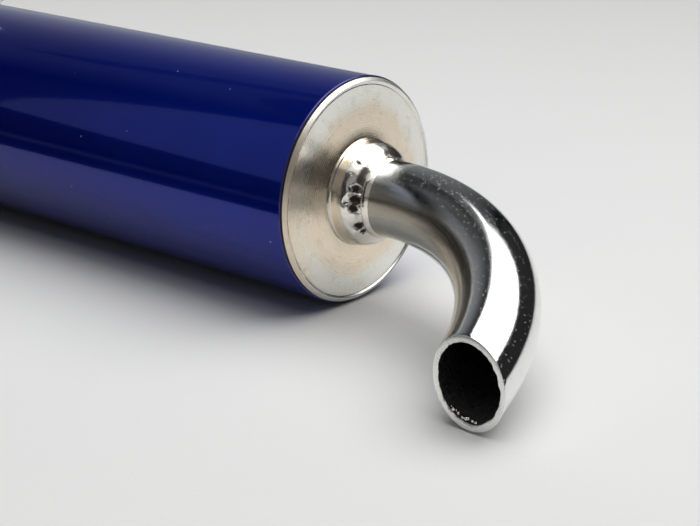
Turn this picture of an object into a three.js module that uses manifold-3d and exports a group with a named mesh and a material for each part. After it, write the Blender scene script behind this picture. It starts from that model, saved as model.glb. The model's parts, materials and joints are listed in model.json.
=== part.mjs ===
// A small two-stroke racing exhaust system: header, expansion chamber and end silencer.
//
// Millimetres, +Z up. While it is built, the X axis is the common axis of chamber and silencer and
// runs towards the tail pipe, with X = 0 on the silencer's rear rim. At the end the whole group is
// moved so that it stands on Z = 0 with the middle of its footprint at the origin.

import * as THREE from 'three';
import { mergeVertices } from 'three/addons/utils/BufferGeometryUtils.js';
import Module from 'manifold-3d';

const wasm = await Module();
wasm.setup();

// ---------------------------------------------------------------- driving dimensions
const CLEARANCE = 0.3;          // between fixed pieces that sit in or on each other
const SLIP_CLEARANCE = 0.15;    // between the stinger and the inlet pipe that slides on it

const CAN_RADIUS = 30;
const CAN_WALL = 1;
const CAN_LENGTH = 190;         // rim to rim
const SHELL_INSET = 0.9;        // the shell's ends stop this far behind the rims

const SHEET = 1.2;              // pressed caps and rolled cones
const RIM_RADIUS = 29.6;
const RIM_THICKNESS = 0.45;
const SKIRT_RADIUS = 28.6;
const SKIRT_DEPTH = 9;
const DISH_RISE = 2.3;          // how far the middle of a cap stands proud of its rim
const DISH_INNER = 13.8;
const DISH_OUTER = 24;
const COLLAR_HEIGHT = 5.7;
const OUTLET_COLLAR_RADIUS = 13.75;
const INLET_COLLAR_RADIUS = 15.5;

const TUBE_RADIUS = 10;         // tail pipe and stinger, 20 x 1.5 tube
const TUBE_WALL = 1.5;
const TAIL_LEAD = 11.9;         // straight length in front of the rim
const TAIL_BEND_RADIUS = 60;
const TAIL_BEND = degrees(82.3);
const TAIL_END = 0.7;           // straight length after the bend, along the centreline
const TAIL_DROOP = degrees(21); // the bend's plane slopes down this much
const TAIL_START = -14;         // inside the can
const MOUTH_YAW = degrees(2.4); // the mouth is sawn nearly parallel to the can, not square to the tube
const MOUTH_PITCH = degrees(1.8);
const SAWN_OFF = 12;            // spare length of bent tube beyond the cut

const CORE_RADIUS = 12.8;
const CORE_WALL = 0.8;
const CORE_HOLE_RADIUS = 2;
const CORE_HOLE_RINGS = 7;
const CORE_HOLES_A_RING = 4;
const CORE_HOLE_PITCH = 22;
const STEEL_WOOL_RADIUS = 15.5;
const PACKING_RADIUS = 26.6;
const PACKING_END_GAP = 9.5;

const INLET_RADIUS = 11.8;
const INLET_REACH = 36;         // how far the inlet pipe stands out of the front rim
const INLET_SLOT_LENGTH = 16;
const INLET_SLOT_WIDTH = 1.6;
const INLET_DEPTH = 12;         // inside the can

const CLAMP_WIDTH = 10;
const CLAMP_THICKNESS = 1;
const CLAMP_SET_BACK = 9;       // from the inlet pipe's open end to the band's middle
const CLAMP_TILT = degrees(-40);
const EAR_GAP = 6;
const EAR_THICKNESS = 1.2;
const EAR_TOP = 22.5;
const CLAMP_SCREW_HEIGHT = 18;
const M4_RADIUS = 2;

const HANGER_X = -168;
const HANGER_WIDTH = 26;
const HANGER_SHEET = 1.5;
const HANGER_HALF_ANGLE = degrees(32);
const RIVET_ANGLE = degrees(24);
const RIVET_SPACING = 18;
const RIVET_RADIUS = 1.7;
const TAB_THICKNESS = 2.5;
const TAB_HOLE_HEIGHT = 45;     // above the axis, on both brackets
const TAB_HALF_WIDTH = 12;
const GROMMET_SEAT = 6.3;

const STINGER_END = -206;       // inside the inlet pipe
const CONE_NECK = -240;         // the baffle cone's neck sits round the stinger
const NECK_LENGTH = 6;
const BAFFLE_LENGTH = 66;
const BELLY_LENGTH = 45;
const BELLY_RADIUS = 29;
const DIFFUSER_LENGTH = 60;
const DIFFUSER_END_RADIUS = 17.5;
const HEADER_CONE_LENGTH = 65;
const SOCKET_LENGTH = 22;
const SOCKET_RADIUS = 13.3;
const BUTT_GAP = 0.3;           // between sheet sections, under their weld bead
const BEAD_HALF_WIDTH = 1.5;
const BEAD_HEIGHT = 0.9;

const HEADER_RADIUS = 11;       // 22 x 1.5 tube
const HEADER_INSERT = 18;       // length inside the socket
const HEADER_LEAD = 16;         // straight from the socket's mouth to the bend
const HEADER_BEND_RADIUS = 42;
const HEADER_END = 18;          // straight from the bend to the flange's face
const FLANGE_THICKNESS = 6;
const FLANGE_BODY_RADIUS = 17;
const FLANGE_LOBE_RADIUS = 8.9;
const FLANGE_HOLE_SPACING = 42;
const FLANGE_HOLE_RADIUS = 3.3;
const GASKET_THICKNESS = 0.8;

const SPRING_HEIGHT = 19.5;     // from the axis to the springs' centrelines
const SPRING_SPAN = 48;         // post to post
const SPRING_WIRE = 1;
const SPRING_EYE_RADIUS = 3.3;
const SPRING_COIL_RADIUS = 3.9;
const SPRING_COIL_LENGTH = 31;
const POST_RADIUS = 1.8;
const POST_SHOULDER = 21.7;     // underside of the posts' heads
const HEADER_POST_SET_BACK = 4; // from the bend's start back to the header's posts

const ROUND = 32;               // facets of the large turned pieces
const SMALL_ROUND = 20;
const FINE_ROUND = 12;          // facets of rivets, posts and springs
const BEND_STEPS = 18;          // rings along a bent tube

// ---------------------------------------------------------------- derived places along the axis
const baffleStart = CONE_NECK - NECK_LENGTH;
const bellyStart = baffleStart - BAFFLE_LENGTH;
const diffuserStart = bellyStart - BELLY_LENGTH;
const headerConeStart = diffuserStart - DIFFUSER_LENGTH;
const socketStart = headerConeStart - HEADER_CONE_LENGTH;
const socketMouth = socketStart - SOCKET_LENGTH;
const headerBendStart = socketMouth - HEADER_LEAD;
const headerPostX = headerBendStart + HEADER_POST_SET_BACK;
const chamberPostX = headerPostX + SPRING_SPAN;
const flangeX = headerBendStart - HEADER_BEND_RADIUS;
const flangeFaceY = HEADER_BEND_RADIUS + HEADER_END;
const inletMouth = -CAN_LENGTH - INLET_REACH;

// ---------------------------------------------------------------- materials
function metal(color, roughness, metalness = 1) {
  return new THREE.MeshStandardMaterial({ color, roughness, metalness });
}
const plated = metal(0xd8d4cc, 0.15);
const blueAnodised = metal(0x141c6e, 0.2, 0.7);
const rawSteel = metal(0x8d8a86, 0.45);
const zinc = metal(0xb9bcc0, 0.35);
const springSteel = metal(0xa7a9ac, 0.3);
const aluminium = metal(0xc3c5c8, 0.4);
const blackSeal = metal(0x0c0c0d, 0.6, 0);
const blackRubber = metal(0x141414, 0.85, 0);
const graphite = metal(0x34363a, 0.7, 0.2);
const steelWool = metal(0x9a9c9e, 0.8, 0.6);
const glassWool = metal(0xe6dfc4, 0.95, 0);

// ---------------------------------------------------------------- shape helpers
function degrees(angle) {
  return THREE.MathUtils.degToRad(angle);
}

// A piece turned about the X axis. The outline is a closed loop of [x, radius] points.
function turned(outline, facets = ROUND) {
  const points = outline.map(([x, radius]) => new THREE.Vector2(radius, x));
  if (THREE.ShapeUtils.area(points) < 0) points.reverse();
  points.push(points[0].clone());
  return new THREE.LatheGeometry(points, facets).rotateZ(-Math.PI / 2);
}

// A plain tube on the X axis.
function tube(from, to, outer, inner, facets = ROUND) {
  return turned([[from, inner], [from, outer], [to, outer], [to, inner]], facets);
}

// A rounded bead on the X axis, standing on a given radius.
function bead(x, radius, halfWidth = BEAD_HALF_WIDTH, height = BEAD_HEIGHT, facets = SMALL_ROUND) {
  const outline = [];
  for (let i = 0; i <= 3; i += 1) {
    const angle = (Math.PI * i) / 3;
    outline.push([x - halfWidth * Math.cos(angle), radius + height * Math.sin(angle)]);
  }
  return turned(outline, facets);
}

// A geometry as a manifold-3d solid.
function solidOf(geometry) {
  const bare = geometry.clone();
  bare.deleteAttribute('normal');
  bare.deleteAttribute('uv');
  const merged = mergeVertices(bare, 1e-3);
  return new wasm.Manifold(new wasm.Mesh({
    numProp: 3,
    vertProperties: new Float32Array(merged.attributes.position.array),
    triVerts: new Uint32Array(merged.index.array),
  }));
}

// A manifold-3d solid as a geometry.
function geometryOf(solid) {
  const mesh = solid.getMesh();
  const geometry = new THREE.BufferGeometry();
  geometry.setAttribute('position', new THREE.BufferAttribute(mesh.vertProperties, 3));
  geometry.setIndex(new THREE.BufferAttribute(mesh.triVerts, 1));
  return geometry;
}

function joined(...geometries) {
  return geometryOf(geometries.map(solidOf).reduce((whole, part) => whole.add(part)));
}

function cut(geometry, ...tools) {
  return geometryOf(tools.map(solidOf).reduce((rest, tool) => rest.subtract(tool), solidOf(geometry)));
}

// A rod along a direction, centred on a point.
function rod(radius, length, centre, direction, facets = 16) {
  const turn = new THREE.Quaternion().setFromUnitVectors(new THREE.Vector3(0, 1, 0), direction);
  return new THREE.CylinderGeometry(radius, radius, length, facets)
    .applyQuaternion(turn)
    .translate(centre.x, centre.y, centre.z);
}

// A ring section swept along a path.
function sweptTube(path, outer, inner, steps, arcSegments = 8) {
  const section = new THREE.Shape().absarc(0, 0, outer, 0, 2 * Math.PI);
  section.holes.push(new THREE.Path().absarc(0, 0, inner, 0, 2 * Math.PI, true));
  return new THREE.ExtrudeGeometry(section, { extrudePath: path, steps, curveSegments: arcSegments });
}

// A straight, a round bend and a straight.
class BentPath extends THREE.Curve {
  constructor({ start, along, side, lead, bendRadius, bendAngle, end }) {
    super();
    Object.assign(this, { start, along, side, lead, bendRadius, bendAngle, end });
    this.bendLength = bendRadius * bendAngle;
    this.length = lead + this.bendLength + end;
  }

  getPoint(t, target = new THREE.Vector3()) {
    const travelled = t * this.length;
    const straight = Math.min(travelled, this.lead);
    const turnedBy = THREE.MathUtils.clamp((travelled - this.lead) / this.bendRadius, 0, this.bendAngle);
    const beyond = Math.max(travelled - this.lead - this.bendLength, 0);
    const forward = straight + this.bendRadius * Math.sin(turnedBy) + beyond * Math.cos(turnedBy);
    const sideways = this.bendRadius * (1 - Math.cos(turnedBy)) + beyond * Math.sin(turnedBy);
    target.copy(this.start).addScaledVector(this.along, forward);
    return target.addScaledVector(this.side, sideways);
  }
}

function piece(parent, name, geometry, material) {
  const mesh = new THREE.Mesh(geometry, material);
  mesh.name = name;
  parent.add(mesh);
  return mesh;
}

function group(parent) {
  const made = new THREE.Group();
  parent.add(made);
  return made;
}

const unitX = new THREE.Vector3(1, 0, 0);
const unitY = new THREE.Vector3(0, 1, 0);
const unitZ = new THREE.Vector3(0, 0, 1);

// ---------------------------------------------------------------- end caps
// Height of a cap's dished face above its rim, at a radius.
function dishHeight(radius) {
  const share = THREE.MathUtils.clamp((radius - DISH_INNER) / (DISH_OUTER - DISH_INNER), 0, 1);
  return (DISH_RISE * (1 + Math.cos(Math.PI * share))) / 2;
}

// A pressed cap that faces +X, with its rim on X = 0, its skirt behind it and a hole in the middle.
function capGeometry(holeRadius) {
  const dish = [];
  for (let i = 0; i <= 3; i += 1) {
    const radius = THREE.MathUtils.lerp(DISH_INNER, DISH_OUTER, i / 3);
    dish.push([dishHeight(radius), radius]);
  }
  const behind = dish.map(([x, radius]) => [x - SHEET, radius]).reverse();
  const skirtInner = SKIRT_RADIUS - 1;
  return turned([
    [DISH_RISE, holeRadius],
    ...dish,
    [0, 27.8], [-0.25, 28.1], [0.05, 28.5],
    [-0.15, RIM_RADIUS], [-RIM_THICKNESS, RIM_RADIUS], [-RIM_THICKNESS, SKIRT_RADIUS],
    [-SKIRT_DEPTH, SKIRT_RADIUS], [-SKIRT_DEPTH, skirtInner], [-SHEET, skirtInner],
    ...behind,
    [DISH_RISE - SHEET, holeRadius],
  ]);
}

// The ring of sealant between a cap's rim and the end of the shell.
function sealGeometry() {
  const slack = 0.05;
  return tube(-SHELL_INSET + slack, -RIM_THICKNESS - slack, CAN_RADIUS - 0.3, SKIRT_RADIUS + 0.2);
}

// The raised ring round a pipe where it leaves a cap, and the weld bead on top of it.
function collarGeometry(bore, outer) {
  const base = DISH_RISE + 0.1;
  const top = base + COLLAR_HEIGHT;
  const shoulder = 2.6;
  const outline = [[base, bore], [base, outer + 0.4], [base + 0.5, outer + 0.4], [base + 0.7, outer]];
  for (let i = 0; i <= 3; i += 1) {
    const angle = (Math.PI / 2) * (i / 3);
    outline.push([top - shoulder * (1 - Math.sin(angle)), outer - shoulder * (1 - Math.cos(angle))]);
  }
  outline.push([top, bore]);
  return turned(outline, SMALL_ROUND);
}

function collarWeldGeometry(bore) {
  const x = DISH_RISE + 0.1 + COLLAR_HEIGHT + 1.1;
  return bead(x, bore, 1, 1.2);
}

// ---------------------------------------------------------------- silencer
function shellGeometry() {
  const chamfer = 0.2;
  const front = -CAN_LENGTH + SHELL_INSET;
  const rear = -SHELL_INSET;
  const inner = CAN_RADIUS - CAN_WALL;
  const blank = turned([
    [front, inner], [front, CAN_RADIUS - chamfer], [front + chamfer, CAN_RADIUS],
    [rear - chamfer, CAN_RADIUS], [rear, CAN_RADIUS - chamfer], [rear, inner],
  ]);
  return cut(blank, ...rivetHoles(inner - 2, CAN_RADIUS + 2));
}

function coreGeometry() {
  const front = -CAN_LENGTH + 6;
  const rear = -2;
  const blank = tube(front, rear, CORE_RADIUS, CORE_RADIUS - CORE_WALL, SMALL_ROUND);
  const middle = (front + rear) / 2;
  const holes = [];
  for (let ring = 0; ring < CORE_HOLE_RINGS; ring += 1) {
    const x = middle + (ring - (CORE_HOLE_RINGS - 1) / 2) * CORE_HOLE_PITCH;
    for (let i = 0; i < CORE_HOLES_A_RING; i += 1) {
      const angle = (2 * Math.PI * (i + (ring % 2) / 2)) / CORE_HOLES_A_RING;
      const outwards = new THREE.Vector3(0, Math.cos(angle), Math.sin(angle));
      const centre = outwards.clone().multiplyScalar(CORE_RADIUS).setX(x);
      holes.push(rod(CORE_HOLE_RADIUS, 4, centre, outwards, 6));
    }
  }
  return cut(blank, ...holes);
}

function tailPath(extra) {
  return new BentPath({
    start: new THREE.Vector3(TAIL_START, 0, 0),
    along: unitX,
    side: new THREE.Vector3(0, -Math.cos(TAIL_DROOP), -Math.sin(TAIL_DROOP)),
    lead: TAIL_LEAD - TAIL_START,
    bendRadius: TAIL_BEND_RADIUS,
    bendAngle: TAIL_BEND,
    end: TAIL_END + extra,
  });
}

// The tail pipe, swept past its mouth and sawn off there.
function tailPipeGeometry() {
  const mouth = tailPath(0).getPoint(1);
  const blank = sweptTube(tailPath(SAWN_OFF), TUBE_RADIUS, TUBE_RADIUS - TUBE_WALL, BEND_STEPS);
  const outwards = new THREE.Vector3(
    -Math.sin(MOUTH_YAW) * Math.cos(MOUTH_PITCH),
    -Math.cos(MOUTH_YAW) * Math.cos(MOUTH_PITCH),
    Math.sin(MOUTH_PITCH),
  );
  const cutter = 5 * SAWN_OFF;
  const centre = mouth.clone().addScaledVector(outwards, cutter / 2);
  return cut(blank, rod(cutter, cutter, centre, outwards));
}

function inletPipeGeometry() {
  const rear = -CAN_LENGTH + INLET_DEPTH;
  const blank = tube(inletMouth, rear, INLET_RADIUS, TUBE_RADIUS + SLIP_CLEARANCE, SMALL_ROUND);
  const slots = [unitY, unitZ].map((across) => {
    const size = new THREE.Vector3(2 * INLET_SLOT_LENGTH, INLET_SLOT_WIDTH, INLET_SLOT_WIDTH);
    size.addScaledVector(across, 3 * INLET_RADIUS);
    return new THREE.BoxGeometry(size.x, size.y, size.z).translate(inletMouth, 0, 0);
  });
  return cut(blank, ...slots);
}

function buildSilencer(parent) {
  const silencer = group(parent);
  const outletBore = TUBE_RADIUS + CLEARANCE;
  const inletBore = INLET_RADIUS + CLEARANCE;

  piece(silencer, 'silencer_shell', shellGeometry(), blueAnodised);
  piece(silencer, 'rear_cap', capGeometry(outletBore), plated);
  piece(silencer, 'rear_cap_seal', sealGeometry(), blackSeal);
  piece(silencer, 'outlet_collar', collarGeometry(outletBore, OUTLET_COLLAR_RADIUS), plated);
  piece(silencer, 'tail_pipe', tailPipeGeometry(), plated);
  piece(silencer, 'tail_pipe_weld', collarWeldGeometry(outletBore), plated);

  const front = group(silencer);
  front.position.x = -CAN_LENGTH;
  front.rotation.z = Math.PI;
  piece(front, 'front_cap', capGeometry(inletBore), plated);
  piece(front, 'front_cap_seal', sealGeometry(), blackSeal);
  piece(front, 'inlet_collar', collarGeometry(inletBore, INLET_COLLAR_RADIUS), plated);
  piece(front, 'inlet_pipe_weld', collarWeldGeometry(inletBore), plated);
  piece(silencer, 'inlet_pipe', inletPipeGeometry(), plated);

  const packingFront = -CAN_LENGTH + PACKING_END_GAP;
  const packingRear = -PACKING_END_GAP;
  const coreInner = CORE_RADIUS - CORE_WALL;
  piece(silencer, 'core_tube', coreGeometry(), rawSteel);
  piece(silencer, 'core_locating_ring',
    tube(-10, -3, coreInner - CLEARANCE, TUBE_RADIUS + CLEARANCE, SMALL_ROUND), rawSteel);
  piece(silencer, 'steel_wool_wrap',
    tube(packingFront, packingRear, STEEL_WOOL_RADIUS, CORE_RADIUS + CLEARANCE, SMALL_ROUND), steelWool);
  piece(silencer, 'glass_wool_packing',
    tube(packingFront, packingRear, PACKING_RADIUS, STEEL_WOOL_RADIUS + CLEARANCE), glassWool);

  buildHanger(silencer);
}

// ---------------------------------------------------------------- silencer hanger
// The four rivets' places: their angle from straight up and their distance along X.
function rivetPlaces() {
  return [-1, 1].flatMap((side) => [-1, 1].map((end) => ({
    angle: side * RIVET_ANGLE,
    x: HANGER_X + (end * RIVET_SPACING) / 2,
  })));
}

function rivetHoles(from, to) {
  return rivetPlaces().map(({ angle, x }) => {
    const outwards = new THREE.Vector3(0, -Math.sin(angle), Math.cos(angle));
    const centre = outwards.clone().multiplyScalar((from + to) / 2).setX(x);
    return rod(RIVET_RADIUS + CLEARANCE, to - from, centre, outwards, FINE_ROUND);
  });
}

// A blind rivet along +X: bulb inside the shell, shank through shell and saddle, domed head outside.
function rivetGeometry() {
  const inside = CAN_RADIUS - CAN_WALL - 0.4;
  const outside = CAN_RADIUS + CLEARANCE + HANGER_SHEET + 0.15;
  return turned([
    [inside - 1.6, 0], [inside - 1.2, 2.2], [inside, 2.4], [inside, RIVET_RADIUS],
    [outside, RIVET_RADIUS], [outside, 3.3], [outside + 0.8, 2.5], [outside + 1.3, 0],
  ], FINE_ROUND);
}

// An upright tab in the XZ plane with a round top and a hole, as a plate about Y = 0.
function tabGeometry(x, foot, footHalfWidth, holeRadius) {
  const outline = new THREE.Shape();
  outline.moveTo(-footHalfWidth, foot);
  outline.lineTo(footHalfWidth, foot);
  outline.lineTo(TAB_HALF_WIDTH, foot + 8);
  outline.absarc(0, TAB_HOLE_HEIGHT, TAB_HALF_WIDTH, 0, Math.PI);
  outline.lineTo(-TAB_HALF_WIDTH, foot + 8);
  outline.holes.push(new THREE.Path().absarc(0, TAB_HOLE_HEIGHT, holeRadius, 0, 2 * Math.PI, true));
  const options = { depth: TAB_THICKNESS, bevelEnabled: false, curveSegments: 10 };
  return new THREE.ExtrudeGeometry(outline, options)
    .translate(0, 0, -TAB_THICKNESS / 2)
    .rotateX(Math.PI / 2)
    .translate(x, 0, 0);
}

// A curved strip round the can's top.
function saddleGeometry() {
  const inner = CAN_RADIUS + CLEARANCE;
  const outer = inner + HANGER_SHEET;
  const from = Math.PI / 2 - HANGER_HALF_ANGLE;
  const to = Math.PI / 2 + HANGER_HALF_ANGLE;
  const outline = new THREE.Shape();
  outline.absarc(0, 0, outer, from, to);
  outline.absarc(0, 0, inner, to, from, true);
  return new THREE.ExtrudeGeometry(outline, { depth: HANGER_WIDTH, bevelEnabled: false, curveSegments: 8 })
    .rotateX(Math.PI / 2)
    .rotateZ(Math.PI / 2)
    .translate(HANGER_X - HANGER_WIDTH / 2, 0, 0);
}

function buildHanger(parent) {
  const saddleTop = CAN_RADIUS + CLEARANCE + HANGER_SHEET;
  const tab = tabGeometry(HANGER_X, saddleTop - 0.8, TAB_HALF_WIDTH, GROMMET_SEAT);
  const bracket = joined(saddleGeometry(), tab);
  piece(parent, 'hanger_bracket', cut(bracket, ...rivetHoles(CAN_RADIUS - 1, saddleTop + 4)), zinc);

  rivetPlaces().forEach(({ angle, x }, i) => {
    const arm = group(parent);
    arm.position.x = x;
    arm.rotation.x = angle;
    piece(arm, `hanger_rivet_${i + 1}`, rivetGeometry(), aluminium).rotation.y = -Math.PI / 2;
  });

  const bush = group(parent);
  bush.position.set(HANGER_X, 0, TAB_HOLE_HEIGHT);
  bush.rotation.z = Math.PI / 2;
  piece(bush, 'hanger_grommet', turned([
    [-3, 4], [-3, 8.4], [-1.6, 8.4], [-1.6, 6], [1.6, 6], [1.6, 8.4], [3, 8.4], [3, 4],
  ], SMALL_ROUND), blackRubber);
  piece(bush, 'hanger_sleeve', tube(-3.3, 3.3, 3.8, 3.15, SMALL_ROUND), zinc);
}

// ---------------------------------------------------------------- inlet clamp
// Seen along X, the clamp's ears stand up in +Z and its screw lies along Y.
function clampBandGeometry() {
  const inner = INLET_RADIUS + CLEARANCE;
  const ring = tube(-CLAMP_WIDTH / 2, CLAMP_WIDTH / 2, inner + CLAMP_THICKNESS, inner, SMALL_ROUND);
  const opening = new THREE.BoxGeometry(2 * CLAMP_WIDTH, EAR_GAP, 20).translate(0, 0, 15);
  const split = cut(ring, opening);
  const earFoot = 12.2;
  const ears = [-1, 1].map((side) => new THREE.BoxGeometry(CLAMP_WIDTH, EAR_THICKNESS, EAR_TOP - earFoot)
    .translate(0, (side * (EAR_GAP + EAR_THICKNESS)) / 2, (EAR_TOP + earFoot) / 2));
  const centre = new THREE.Vector3(0, 0, CLAMP_SCREW_HEIGHT);
  return cut(joined(split, ...ears), rod(M4_RADIUS + CLEARANCE, 20, centre, unitY));
}

function buildInletClamp(parent) {
  const clamp = group(parent);
  clamp.position.x = inletMouth + CLAMP_SET_BACK;
  clamp.rotation.x = CLAMP_TILT;
  piece(clamp, 'inlet_clamp_band', clampBandGeometry(), zinc);

  const screwLine = group(clamp);
  screwLine.position.z = CLAMP_SCREW_HEIGHT;
  screwLine.rotation.z = Math.PI / 2;
  const seat = EAR_GAP / 2 + EAR_THICKNESS + 0.2;
  const head = tube(seat, seat + 2.9, 4, 0, 6);
  const shank = rod(M4_RADIUS, 20, new THREE.Vector3(seat - 8, 0, 0), unitX);
  piece(screwLine, 'inlet_clamp_screw', joined(head, shank), zinc);
  piece(screwLine, 'inlet_clamp_nut', cut(
    tube(-seat - 3.2, -seat, 4, 0, 6),
    rod(M4_RADIUS + CLEARANCE, 20, new THREE.Vector3(-seat, 0, 0), unitX),
  ), zinc);
}

// ---------------------------------------------------------------- expansion chamber
// A rolled cone between two places on the axis, leaving half a butt gap at each end.
function coneGeometry(rear, rearRadius, front, frontRadius) {
  const half = BUTT_GAP / 2;
  return turned([
    [rear - half, rearRadius], [front + half, frontRadius],
    [front + half, frontRadius - SHEET], [rear - half, rearRadius - SHEET],
  ], SMALL_ROUND);
}

function baffleConeGeometry() {
  const bore = TUBE_RADIUS + CLEARANCE;
  const neck = bore + SHEET;
  const end = bellyStart + BUTT_GAP / 2;
  return turned([
    [CONE_NECK, bore], [CONE_NECK, neck], [baffleStart, neck], [end, BELLY_RADIUS],
    [end, BELLY_RADIUS - SHEET], [baffleStart, bore],
  ], SMALL_ROUND);
}

// A post for a spring's eye, along +Z: foot, shank and head. The foot stands on the given radius.
function springPostGeometry(foot) {
  return turned([
    [foot, 0], [foot, 3], [foot + 1.4, POST_RADIUS],
    [POST_SHOULDER, POST_RADIUS], [POST_SHOULDER, 3.2], [POST_SHOULDER + 1, 2.8], [POST_SHOULDER + 1.4, 0],
  ], FINE_ROUND).rotateY(-Math.PI / 2);
}

// Two of a piece on opposite sides of the axis: the first above it, the second below.
function aboveAndBelow(parent, x, name, makeGeometry, material) {
  [0, Math.PI].forEach((turn, i) => {
    const side = group(parent);
    side.position.x = x;
    side.rotation.x = turn;
    piece(side, `${name}_${i + 1}`, makeGeometry(), material);
  });
}

function buildChamber(parent) {
  const chamber = group(parent);
  const neck = TUBE_RADIUS + CLEARANCE;
  piece(chamber, 'stinger',
    tube(baffleStart + 2, STINGER_END, TUBE_RADIUS, TUBE_RADIUS - TUBE_WALL, SMALL_ROUND), plated);
  piece(chamber, 'stinger_weld', bead(CONE_NECK + 1.3, neck - 0.1, 1.1, 1.1), plated);
  piece(chamber, 'baffle_cone', baffleConeGeometry(), plated);
  piece(chamber, 'baffle_weld', bead(bellyStart, BELLY_RADIUS + 0.05), plated);
  piece(chamber, 'belly', coneGeometry(bellyStart, BELLY_RADIUS, diffuserStart, BELLY_RADIUS), plated);
  piece(chamber, 'belly_weld', bead(diffuserStart, BELLY_RADIUS + 0.05), plated);
  piece(chamber, 'diffuser_cone',
    coneGeometry(diffuserStart, BELLY_RADIUS, headerConeStart, DIFFUSER_END_RADIUS), plated);
  piece(chamber, 'diffuser_weld', bead(headerConeStart, DIFFUSER_END_RADIUS + 0.35), plated);
  piece(chamber, 'header_cone',
    coneGeometry(headerConeStart, DIFFUSER_END_RADIUS, socketStart, SOCKET_RADIUS), plated);
  piece(chamber, 'socket_weld', bead(socketStart, SOCKET_RADIUS + 0.2), plated);
  const socketEnd = socketStart - BUTT_GAP / 2;
  piece(chamber, 'header_socket',
    tube(socketMouth, socketEnd, SOCKET_RADIUS, SOCKET_RADIUS - TUBE_WALL, SMALL_ROUND), plated);

  const bracketX = (bellyStart + diffuserStart) / 2;
  const belly = BELLY_RADIUS + CLEARANCE;
  piece(chamber, 'chamber_bracket', tabGeometry(bracketX, belly, TAB_HALF_WIDTH + 4, 4.2), plated);

  const share = (headerConeStart - chamberPostX) / HEADER_CONE_LENGTH;
  const coneRadius = THREE.MathUtils.lerp(DIFFUSER_END_RADIUS, SOCKET_RADIUS, share);
  aboveAndBelow(chamber, chamberPostX, 'chamber_spring_post',
    () => springPostGeometry(coneRadius + 2 * CLEARANCE), plated);
}

// ---------------------------------------------------------------- header
// The header runs back from the socket and turns towards +Y.
function headerPath() {
  return new BentPath({
    start: new THREE.Vector3(socketMouth + HEADER_INSERT, 0, 0),
    along: unitX.clone().negate(),
    side: unitY,
    lead: HEADER_INSERT + HEADER_LEAD,
    bendRadius: HEADER_BEND_RADIUS,
    bendAngle: Math.PI / 2,
    end: HEADER_END - CLEARANCE,
  });
}

// A plate with a round body, two round lobes and three holes, lying in XZ and facing +Y.
function flangeGeometry(thickness, trim, bore) {
  const body = FLANGE_BODY_RADIUS - trim;
  const lobe = FLANGE_LOBE_RADIUS - trim;
  const reach = FLANGE_HOLE_SPACING / 2;
  const lean = Math.asin((body - lobe) / reach);
  const outline = new THREE.Shape();
  outline.absarc(0, 0, body, -lean, lean);
  outline.absarc(0, reach, lobe, lean, Math.PI - lean);
  outline.absarc(0, 0, body, Math.PI - lean, Math.PI + lean);
  outline.absarc(0, -reach, lobe, Math.PI + lean, 2 * Math.PI - lean);
  outline.holes.push(new THREE.Path().absarc(0, 0, bore, 0, 2 * Math.PI, true));
  [-reach, reach].forEach((z) => {
    outline.holes.push(new THREE.Path().absarc(0, z, FLANGE_HOLE_RADIUS, 0, 2 * Math.PI, true));
  });
  return new THREE.ExtrudeGeometry(outline, { depth: thickness, bevelEnabled: false, curveSegments: 8 })
    .rotateX(Math.PI / 2);
}

function buildHeader(parent) {
  const header = group(parent);
  const pipe = sweptTube(headerPath(), HEADER_RADIUS, HEADER_RADIUS - TUBE_WALL, BEND_STEPS);
  piece(header, 'header_pipe', pipe, plated);

  [6, 13].forEach((depth, i) => {
    const from = socketMouth + depth;
    const ring = tube(from, from + 2, HEADER_RADIUS + 0.6, HEADER_RADIUS + 0.15, SMALL_ROUND);
    piece(header, `header_seal_ring_${i + 1}`, ring, graphite);
  });
  aboveAndBelow(header, headerPostX, 'header_spring_post',
    () => springPostGeometry(HEADER_RADIUS + CLEARANCE), plated);

  const flange = group(header);
  flange.position.set(flangeX, flangeFaceY, 0);
  piece(flange, 'engine_flange', flangeGeometry(FLANGE_THICKNESS, 0, HEADER_RADIUS + CLEARANCE), plated);
  const weld = piece(flange, 'flange_weld', bead(0, HEADER_RADIUS + CLEARANCE, 1.2, 1.4), plated);
  weld.rotation.z = Math.PI / 2;
  weld.position.y = -FLANGE_THICKNESS - 1.4;
  const gasket = flangeGeometry(GASKET_THICKNESS, 0.4, HEADER_RADIUS - TUBE_WALL + 0.3);
  piece(flange, 'flange_gasket', gasket, graphite).position.y = GASKET_THICKNESS + 0.05;
}

// ---------------------------------------------------------------- joint springs
// An extension spring along -X from its rear eye at the origin. Its eyes lie flat in XY, and its coil
// is drawn as its outer shape.
function springGeometry() {
  const eye = new THREE.TorusGeometry(SPRING_EYE_RADIUS, SPRING_WIRE, 6, FINE_ROUND);
  const eyes = [0, -SPRING_SPAN].map((x) => eye.clone().translate(x, 0, 0));
  const reach = (SPRING_SPAN - SPRING_COIL_LENGTH) / 2;
  const coil = turned([
    [-reach, 0], [-reach, 2.4], [-reach - 1.5, SPRING_COIL_RADIUS],
    [reach + 1.5 - SPRING_SPAN, SPRING_COIL_RADIUS], [reach - SPRING_SPAN, 2.4], [reach - SPRING_SPAN, 0],
  ], FINE_ROUND);
  const legLength = reach - SPRING_EYE_RADIUS + 1;
  const legs = [-1, 1].map((end) => {
    const x = -SPRING_SPAN / 2 + end * (SPRING_SPAN / 2 - SPRING_EYE_RADIUS - legLength / 2);
    return rod(SPRING_WIRE, legLength, new THREE.Vector3(x, 0, 0), unitX, 8);
  });
  return joined(coil, ...eyes, ...legs);
}

function buildSprings(parent) {
  aboveAndBelow(parent, chamberPostX, 'joint_spring',
    () => springGeometry().translate(0, 0, SPRING_HEIGHT), springSteel);
}

// ---------------------------------------------------------------- the whole system
const exhaust = new THREE.Group();
const assembly = group(exhaust);
buildSilencer(assembly);
buildInletClamp(assembly);
buildChamber(assembly);
buildHeader(assembly);
buildSprings(assembly);

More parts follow.
